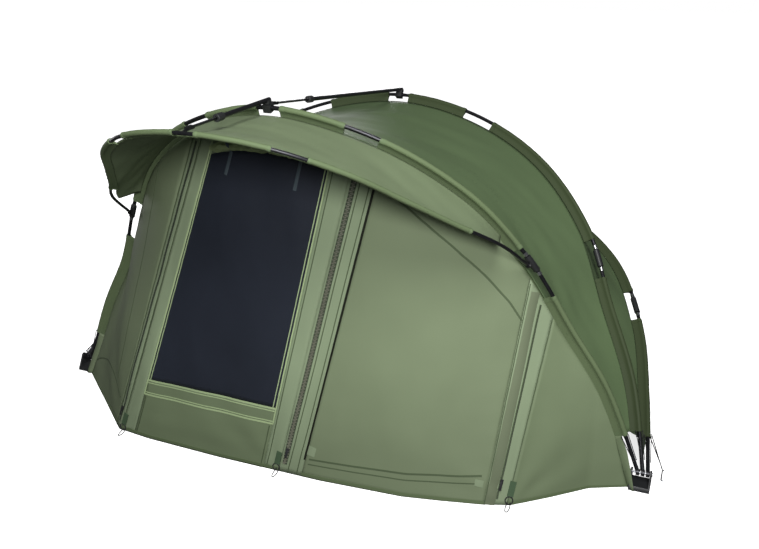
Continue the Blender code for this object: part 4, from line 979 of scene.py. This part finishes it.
# Each zip: its label, its seams, its place between them, the widths of its tape and its coil, and the drawn pitch,
# coarser than the real one so that the teeth show. Each flap edge: its seams, place, width and finish.
ZIP_LINES = (
    ("left", LEFT_ZIP_OUTER, LEFT_ZIP_INNER, 0.5, 0.011, 0.0055, 0.006),
    ("middle", MIDDLE_ZIP, FLAP_EDGE, 0.2, 0.022, 0.017, 0.007),
    ("right", RIGHT_ZIP_INNER, RIGHT_ZIP_OUTER, 0.5, 0.009, 0.005, 0.006),
)
FLAP_LINES = (
    (LEFT_ZIP_OUTER, LEFT_ZIP_INNER, 0.03, 0.006, "seam"),
    (LEFT_ZIP_OUTER, LEFT_ZIP_INNER, 0.97, 0.004, "seam"),
    (MESH_RIGHT, MIDDLE_ZIP, 0.2, 0.004, "seam"),
    (MIDDLE_ZIP, FLAP_EDGE, 0.42, 0.004, "seam"),
    (MIDDLE_ZIP, FLAP_EDGE, 0.8, 0.004, "seam"),
    # Painted shadow: the near black groove strip under the flap's edge
    (MIDDLE_ZIP, FLAP_EDGE, 0.985, 0.009, "groove"),
    # Painted shade: the darker underlay band beside the right zip
    (RIGHT_ZIP_INNER, RIGHT_ZIP_OUTER, 0.25, 0.038, "shade"),
    (RIGHT_ZIP_INNER, RIGHT_ZIP_OUTER, 0.03, 0.004, "seam"),
    (RIGHT_ZIP_INNER, RIGHT_ZIP_OUTER, 0.97, 0.004, "seam"),
)


def build_zips():
    """The zips: a dark tape strip with its coil of teeth, and the edges of the flaps beside them."""
    front = all_ribs()["front"]
    for label, left, right, across, tape_width, coil_width, pitch in ZIP_LINES:
        point = wall_cloth(front, left, right)
        tape, coil = new_shape(), bmesh.new()
        places = upright(across, 0.03, 0.97, 60)
        lay_strip(tape, point, places, tape_width, 0.0018, 0.0004)
        normals = [wall_out(point, *place) for place in places]
        path = [point(*place) + out * 0.0024 for place, out in zip(places, normals)]
        zip_teeth(coil, path, normals, coil_width, pitch)
        trim_piece(tape, f"zip_{label}_tape_strip", "tape" if label != "right" else "seam", "zip_tape")
        data = bpy.data.meshes.new(f"zip_{label}_coil")
        coil.to_mesh(data)
        coil.free()
        dress(link_piece(f"zip_{label}_coil", data, "coil" if label != "middle" else "teeth"), "zip_tape", "front_rib")
    for kind in ("seam", "groove", "shade"):
        flaps = new_shape()
        for left, right, across, width, edge_kind in FLAP_LINES:
            if edge_kind == kind:
                places = upright(across, 0.06 if kind == "groove" else 0.0, 0.985, 60)
                lift = 0.0014 if kind == "shade" else 0.0006
                lay_strip(flaps, wall_cloth(front, left, right), places, width, 0.0016, lift)
        trim_piece(flaps, f"trim_flap_edges_{kind}", kind)


def build_corners():
    """The cloth corners that close the wall below each end of the front sleeve, down beside the poles."""
    front = all_ribs()["front"]
    for word, side, seam, kind in (("right", 1, RIGHT_END, "visor"), ("left", -1, LEFT_END, "wall")):
        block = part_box(f"foot_block_{word}")
        top = rib_point(front, WALL_END_TURN if side > 0 else 1 - WALL_END_TURN, WALL_INSET, -0.003)
        foot = front_ground(seam.foot)
        corner = Vector((side * (front.foot_x - 0.004), block[0][1] - 0.006, 0.002))

        def surface(across, up, side=side, top=top, foot=foot, corner=corner):
            turn = 0.012 + (WALL_END_TURN - 0.012) * up
            pole = rib_point(front, turn if side > 0 else 1 - turn, 0.0115, -0.0115)
            pole = corner.lerp(pole, min(up * 2.5, 1.0))
            slack = Vector((0.0, -0.006 * math.sin(math.pi * across) * (1 - up), 0.0))
            return foot.lerp(top, up).lerp(pole, across) + slack
        thing = cloth_piece(f"cloth_corner_{word}", 10, 16, surface, kind, (0.12, (top - foot).length))
        dress(thing, "canopy_cloth", "front_rib")
        declare_sheet(thing, surface)


ROLL_END, ROLL_RADIUS, ROLL_OUT, ROLL_DROP = 0.03, 0.026, 0.019, 0.012


def build_cover_roll():
    """The window's cover, rolled and bunched above the mesh, with its two toggle straps."""
    door = wall_cloth(all_ribs()["front"], MESH_LEFT, MESH_RIGHT)
    sides = 56

    def axes(across):
        """The door's place behind the roll, with its outward and upward directions."""
        up = (door(across, ROLL_UP + WALL_STEP) - door(across, ROLL_UP - WALL_STEP)).normalized()
        return door(across, ROLL_UP), wall_out(door, across, ROLL_UP), up

    def place(share, corner):
        across = ROLL_END + (1 - 2 * ROLL_END) * share
        angle = 2 * math.pi * corner / sides
        at, out, up = axes(across)
        end = min(across - ROLL_END, 1 - ROLL_END - across) / (0.5 - ROLL_END)
        tied = min(abs(across - strap) for strap in STRAP_PLACES)
        ring = Vector((math.cos(angle), math.sin(angle), 0.0))
        spot = Vector((across * 5.5, ring.x * 0.75, ring.y * 0.75))
        folds = noise.ridged_multi_fractal(spot * 1.7, 0.8, 2.2, 4, 0.95, 2.2)
        creased = 0.12 * math.sin(3 * angle + across * 9.0) + 0.07 * math.sin(5 * angle - across * 23.0)
        swell = ROLL_RADIUS * min(1.0, 0.3 + 3.0 * end) * (0.7 + 0.3 * min(1.0, tied / 0.06))
        swell *= 0.62 + 0.26 * folds + creased
        return at - up * ROLL_DROP + out * (ROLL_OUT + ring.x * swell * 0.8) + up * (ring.y * swell * 1.05)
    shape, straps = new_shape(), new_shape()
    sweep(shape, 220, sides, place)
    # Painted light: the roll's finish is lighter than its cloth, standing in for light under the visor
    thing = write_shape(shape, "cloth_cover_roll", "roll", closed=True)
    dress(thing, "canopy_cloth", "front_rib", ["door_cover_roll"])
    for across in STRAP_PLACES:
        at, out, up = axes(across)
        path = [at + out * (0.02 + 0.019 * math.cos(angle)) + up * (0.021 * math.sin(angle))
                for angle in spread(-2.6, 2.6, 20)]
        add_strip(straps, path, [(point - at - out * 0.02).normalized() for point in path], 0.016, 0.0016)
    trim_piece(straps, "trim_roll_straps", "strap")


POLE_SIDES = 14
FERRULE_SHIFT, FERRULE_HALF, FERRULE_OVER = 0.0115, 0.0018, 0.0008


def build_poles():
    """The crown poles as round tubes, with a bare ferrule on each side of each joint."""
    ribs = all_ribs()
    for label, joint in JOINT_TURNS.items():
        rib, body = ribs[label], f"{label}_rib"
        path = rib_path(rib, joint + TURN_STEP, 1 - TURN_STEP - joint, 120)
        crown = tube_piece(f"pole_{label}_crown", path, rib.pole, "pole", POLE_SIDES)
        dress(crown, "pole_metal", body, [f"{label}_rib_crown_pole"])
        rings = new_shape()
        for turn in (end + shift for end in (joint, 1 - joint) for shift in (-FERRULE_SHIFT, FERRULE_SHIFT)):
            path = rib_path(rib, turn - FERRULE_HALF, turn + FERRULE_HALF, 2)
            add_tube(rings, path, rib.pole + FERRULE_OVER, POLE_SIDES)
        dress(write_shape(rings, f"pole_{label}_ferrules", "ferrule", closed=True), "pole_metal", body)


KINDS = {"pole_metal": "pole", "bar_metal": "pole", "black_plastic": "plastic", "ring_steel": "steel",
         "webbing": "webbing", "zip_tape": "band", "canopy_cloth": "canopy", "sleeve_cloth": "sleeve",
         "mesh_cloth": "mesh"}
EDGES = {"black_plastic": 0.0009, "bar_metal": 0.0005, "ring_steel": 0.0005, "pole_metal": 0.0004,
         "webbing": 0.0003}
RING_TOP = 0.034  # the ring's part of a peg loop, above its lowest point


def build_fittings():
    """Gives each frame piece its finish, and rounds the edges of the moulded and metal ones."""
    for name, node in frame["nodes"].items():
        node.data.materials.clear()
        node.data.materials.append(finish(KINDS[SLOT_OF[name]]))
        if SLOT_OF[name] in EDGES and "crown_pole" not in name and "hub_elastic" not in name:
            soften(name, KINDS[SLOT_OF[name]], EDGES[SLOT_OF[name]])


# The elastics. A strand leaves its sleeve at the high turn and ends at the foot block at the low one, beside the pole
# or, for the outer ones, outside it.
STRAND_RADIUS, PEG_RADIUS, HOOK_RADIUS = 0.0016, 0.0018, 0.002
STRAND_HIGH, STRAND_LOW = FOOT_TURN + 0.001, 0.012
HOOK_TURN = FOOT_TURN + 0.004
HOOK_EASE = 0.0059


def strand(name, points, body, radius=STRAND_RADIUS):
    """A braided elastic cord through the points."""
    data = bpy.data.curves.new(name, "CURVE")
    data.dimensions = "3D"
    data.bevel_depth = radius
    data.bevel_resolution = 3
    data.use_fill_caps = True
    line = data.splines.new("POLY")
    line.points.add(len(points) - 1)
    for spot, place in zip(line.points, points):
        spot.co = (*place, 1.0)
    thing = bpy.data.objects.new(name, data)
    bpy.context.scene.collection.objects.link(thing)
    data.materials.append(finish("elastic"))
    dress(thing, "webbing", body)
    tuple(points[0])
    path_length(points)


def hook_elastic(name, start, end, hook):
    """An elastic that stretches between the rear rib's sleeve and the hook on the ground."""
    path = [start.lerp(end, along) for along in spread(0.0, 1.0, 14)]
    thing = tube_piece(name, path, HOOK_RADIUS, "elastic", 10)
    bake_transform(thing)
    return thing


def peg_elastic(word):
    """The elastic loop tied through a front peg ring, lying out on the ground in front of the hem."""
    low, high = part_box(f"front_peg_loop_{word}")
    centre = Vector(((low[0] + high[0]) * 0.5, low[1] + 0.004, 0.0035))
    points = []
    for turn in spread(0.0, 1.0, 24):
        wide, far = math.cos(math.pi * turn), math.sin(math.pi * turn)
        points.append(centre + Vector((0.011 * wide * (0.4 + 0.6 * far ** 0.5), -0.046 * far, 0.012 * (1 - far) ** 2)))
    strand(f"elastic_peg_{word}", points, "front_rib", PEG_RADIUS)


def build_elastics():
    """The elastics that draw the sleeves down to the feet, on the outside to a hook, and those of the peg rings."""
    for word in ("left", "middle", "right"):
        peg_elastic(word)
    ribs = all_ribs()
    rear = ribs["rear"]
    for word, side in (("right", 1), ("left", -1)):
        turn = HOOK_TURN if side > 0 else 1 - HOOK_TURN
        ahead, out, back = rib_axes(rear, turn)
        hook = BASE + Vector((side * HOOK_PLACE[0], *HOOK_PLACE[1:]))
        shell = bpy.data.objects[f"shell_peg_hook_{word}"]
        for end_word, shift, rise in (("main", 0.0, 0.0), ("aft", 0.016, -0.0062)):
            start = rib_point(rear, turn, -(rear.pole + HOOK_EASE + rise)) + back * shift
            end = hook + (start - hook).normalized() * 0.0034 + Vector((0.0, 0.0, shift * 0.3))
            cord = hook_elastic(f"elastic_hook_{word}_{end_word}", start, end, shell)
            if end_word == "main":
                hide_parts(f"hub_elastic_{word}")
        for label, shift in STRANDS:
            rib = ribs[label]
            high, low = (STRAND_HIGH, STRAND_LOW) if side > 0 else (1 - STRAND_HIGH, 1 - STRAND_LOW)
            ahead, out, back = rib_axes(rib, high)
            outer = 0.0 if shift else 1.0
            top = rib_point(rib, high) + back * (shift * 0.0145 - outer * 0.005) + out * (0.0265 * outer - 0.014)
            foot = rib_point(rib, low) + back * (shift * 0.0105) + out * (0.0105 * outer)
            strand(f"elastic_{label}_{word}_{('fore', 'outer', 'aft')[shift + 1]}",
                   [top.lerp(foot, along) for along in spread(0.0, 1.0, 10)], f"{label}_rib")


def floor_paint():
    """Matt white studio floor. The camera sees it lifted to white, less near the tent, so that its shadow stays."""
    made, tree, shader = new_finish("studio_floor_white")
    camera_ray = add_node(tree, "LightPath").outputs["Is Camera Ray"]
    away = add_node(tree, "VectorMath", {"operation": "LENGTH"}, {0: object_place(tree)}).outputs["Value"]
    shade = add_node(tree, "Mix", {"data_type": "RGBA", 6: (0.1, 0.1, 0.1, 1), 7: (0.9, 0.9, 0.9, 1)}, {0: camera_ray})
    glow = sum_up(tree, "MULTIPLY", camera_ray, remap(tree, away, 0.8, 1.0, 1.6, 3.6))
    fill_in(tree, shader, {"Emission Color": (1, 1, 1, 1), "Roughness": 0.9, "Specular IOR Level": 0.0},
            {"Base Color": shade.outputs[2], "Emission Strength": glow})
    return made


def build_stage():
    """A white floor, soft lights and the camera at the photograph's place."""
    scene = bpy.context.scene
    floor = bmesh.new()
    bmesh.ops.create_grid(floor, x_segments=1, y_segments=1, size=FLOOR_HALF)
    data = bpy.data.meshes.new("floor")
    floor.to_mesh(data)
    floor.free()
    thing = bpy.data.objects.new("floor", data)
    scene.collection.objects.link(thing)
    data.materials.append(floor_paint())
    world = bpy.data.worlds.new("studio")
    scene.world = world
    world.use_nodes = True
    tree = world.node_tree
    tree.nodes.clear()
    path = add_node(tree, "LightPath").outputs
    seen = sum_up(tree, "MAXIMUM", path["Is Camera Ray"], path["Is Transmission Ray"])
    dim = add_node(tree, "Background", {"Color": (0.92, 0.96, 1, 1), "Strength": WORLD_LIGHT})
    white = add_node(tree, "Background", {"Color": (1, 1, 1, 1), "Strength": 1.0})
    mix = add_node(tree, "MixShader", {}, {0: seen, 1: dim.outputs[0], 2: white.outputs[0]})
    add_node(tree, "OutputWorld", {}, {"Surface": mix.outputs[0]})
    for name, place, target, size, power in LAMPS:
        lamp = bpy.data.lights.new(name, "AREA")
        lamp.shape = "DISK"
        lamp.size = size
        lamp.energy = power
        thing = bpy.data.objects.new(name, lamp)
        thing.location = BASE + Vector(place)
        thing.rotation_euler = (Vector(place) - Vector(target)).to_track_quat("Z", "Y").to_euler()
        scene.collection.objects.link(thing)
    camera = bpy.data.cameras.new("camera")
    camera.lens = CAMERA_LENS
    camera.sensor_width = 36.0
    holder = bpy.data.objects.new("camera", camera)
    holder.location = CAMERA_PLACE
    holder.rotation_euler = CAMERA_BACK.to_track_quat("Z", "Y").to_euler()
    scene.collection.objects.link(holder)
    scene.camera = holder
    scene.view_settings.view_transform = "Standard"


class BIVVY_OT_canopy(bpy.types.Operator):
    """Adds the canopy's two panels and the rear wall"""

    bl_idname = "bivvy.canopy"
    bl_label = "Canopy cloth"

    def execute(self, context):
        build_canopy()
        return {"FINISHED"}


class BIVVY_OT_visor(bpy.types.Operator):
    """Adds the visor's cloth"""

    bl_idname = "bivvy.visor"
    bl_label = "Visor cloth"

    def execute(self, context):
        build_visor()
        return {"FINISHED"}


class BIVVY_OT_sleeves(bpy.types.Operator):
    """Adds the pole sleeves with their windows"""

    bl_idname = "bivvy.sleeves"
    bl_label = "Pole sleeves"

    def execute(self, context):
        build_sleeves()
        return {"FINISHED"}


class BIVVY_OT_wall(bpy.types.Operator):
    """Adds the front wall's panels and mesh"""

    bl_idname = "bivvy.wall"
    bl_label = "Front wall"

    def execute(self, context):
        build_wall()
        return {"FINISHED"}


class BIVVY_OT_door_trim(bpy.types.Operator):
    """Adds the window's piping, and the wall's seams, hems and patches"""

    bl_idname = "bivvy.door_trim"
    bl_label = "Door trim"

    def execute(self, context):
        build_door_trim()
        return {"FINISHED"}


class BIVVY_OT_cover_roll(bpy.types.Operator):
    """Adds the rolled window cover"""

    bl_idname = "bivvy.cover_roll"
    bl_label = "Window cover"

    def execute(self, context):
        build_cover_roll()
        return {"FINISHED"}


class BIVVY_OT_elastics(bpy.types.Operator):
    """Adds the elastics at the feet and in the peg rings"""

    bl_idname = "bivvy.elastics"
    bl_label = "Elastics"

    def execute(self, context):
        build_elastics()
        return {"FINISHED"}


class BIVVY_OT_zips(bpy.types.Operator):
    """Adds the zips' tapes and teeth"""

    bl_idname = "bivvy.zips"
    bl_label = "Zips"

    def execute(self, context):
        build_zips()
        return {"FINISHED"}


class BIVVY_OT_corners(bpy.types.Operator):
    """Adds the cloth corners beside the feet"""

    bl_idname = "bivvy.corners"
    bl_label = "Cloth corners"

    def execute(self, context):
        build_corners()
        return {"FINISHED"}


class BIVVY_OT_poles(bpy.types.Operator):
    """Adds the round poles and their ferrules"""

    bl_idname = "bivvy.poles"
    bl_label = "Poles"

    def execute(self, context):
        build_poles()
        return {"FINISHED"}


class BIVVY_OT_fittings(bpy.types.Operator):
    """Finishes the moulded and metal fittings of the frame"""

    bl_idname = "bivvy.fittings"
    bl_label = "Fittings"

    def execute(self, context):
        build_fittings()
        return {"FINISHED"}


class BIVVY_OT_stage(bpy.types.Operator):
    """Adds the floor, lights and camera"""

    bl_idname = "bivvy.stage"
    bl_label = "Stage"

    def execute(self, context):
        build_stage()
        return {"FINISHED"}


OPERATORS = (BIVVY_OT_fittings, BIVVY_OT_canopy, BIVVY_OT_visor, BIVVY_OT_sleeves, BIVVY_OT_wall, BIVVY_OT_door_trim,
             BIVVY_OT_cover_roll, BIVVY_OT_elastics, BIVVY_OT_zips, BIVVY_OT_corners, BIVVY_OT_poles, BIVVY_OT_stage)


class BIVVY_PT_panel(bpy.types.Panel):
    """Lists the tent's pieces, sizes and colours"""

    bl_label = "Bivvy tent"
    bl_idname = "BIVVY_PT_panel"
    bl_space_type = "VIEW_3D"
    bl_region_type = "UI"
    bl_category = "Bivvy"

    def draw(self, context):
        for operator in OPERATORS:
            self.layout.operator(operator.bl_idname)
        for group in (context.scene.bivvy_sizes, context.scene.bivvy_colours):
            for name in group.bl_rna.properties.keys():
                if name not in ("rna_type", "name"):
                    self.layout.prop(group, name)


CLASSES = (BivvySizes, BivvyColours) + OPERATORS + (BIVVY_PT_panel,)


def register():
    for kind in CLASSES:
        bpy.utils.register_class(kind)
    bpy.types.Scene.bivvy_sizes = PointerProperty(type=BivvySizes)
    bpy.types.Scene.bivvy_colours = PointerProperty(type=BivvyColours)


def unregister():
    del bpy.types.Scene.bivvy_colours
    del bpy.types.Scene.bivvy_sizes
    for kind in reversed(CLASSES):
        bpy.utils.unregister_class(kind)


def main():
    register()
    bpy.ops.bivvy.fittings()
    bpy.ops.bivvy.canopy()
    bpy.ops.bivvy.visor()
    bpy.ops.bivvy.sleeves()
    bpy.ops.bivvy.wall()
    bpy.ops.bivvy.door_trim()
    bpy.ops.bivvy.cover_roll()
    bpy.ops.bivvy.elastics()
    bpy.ops.bivvy.zips()
    bpy.ops.bivvy.corners()
    bpy.ops.bivvy.poles()
    bpy.ops.bivvy.stage()
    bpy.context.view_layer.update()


if __name__ == "__main__":
    main()
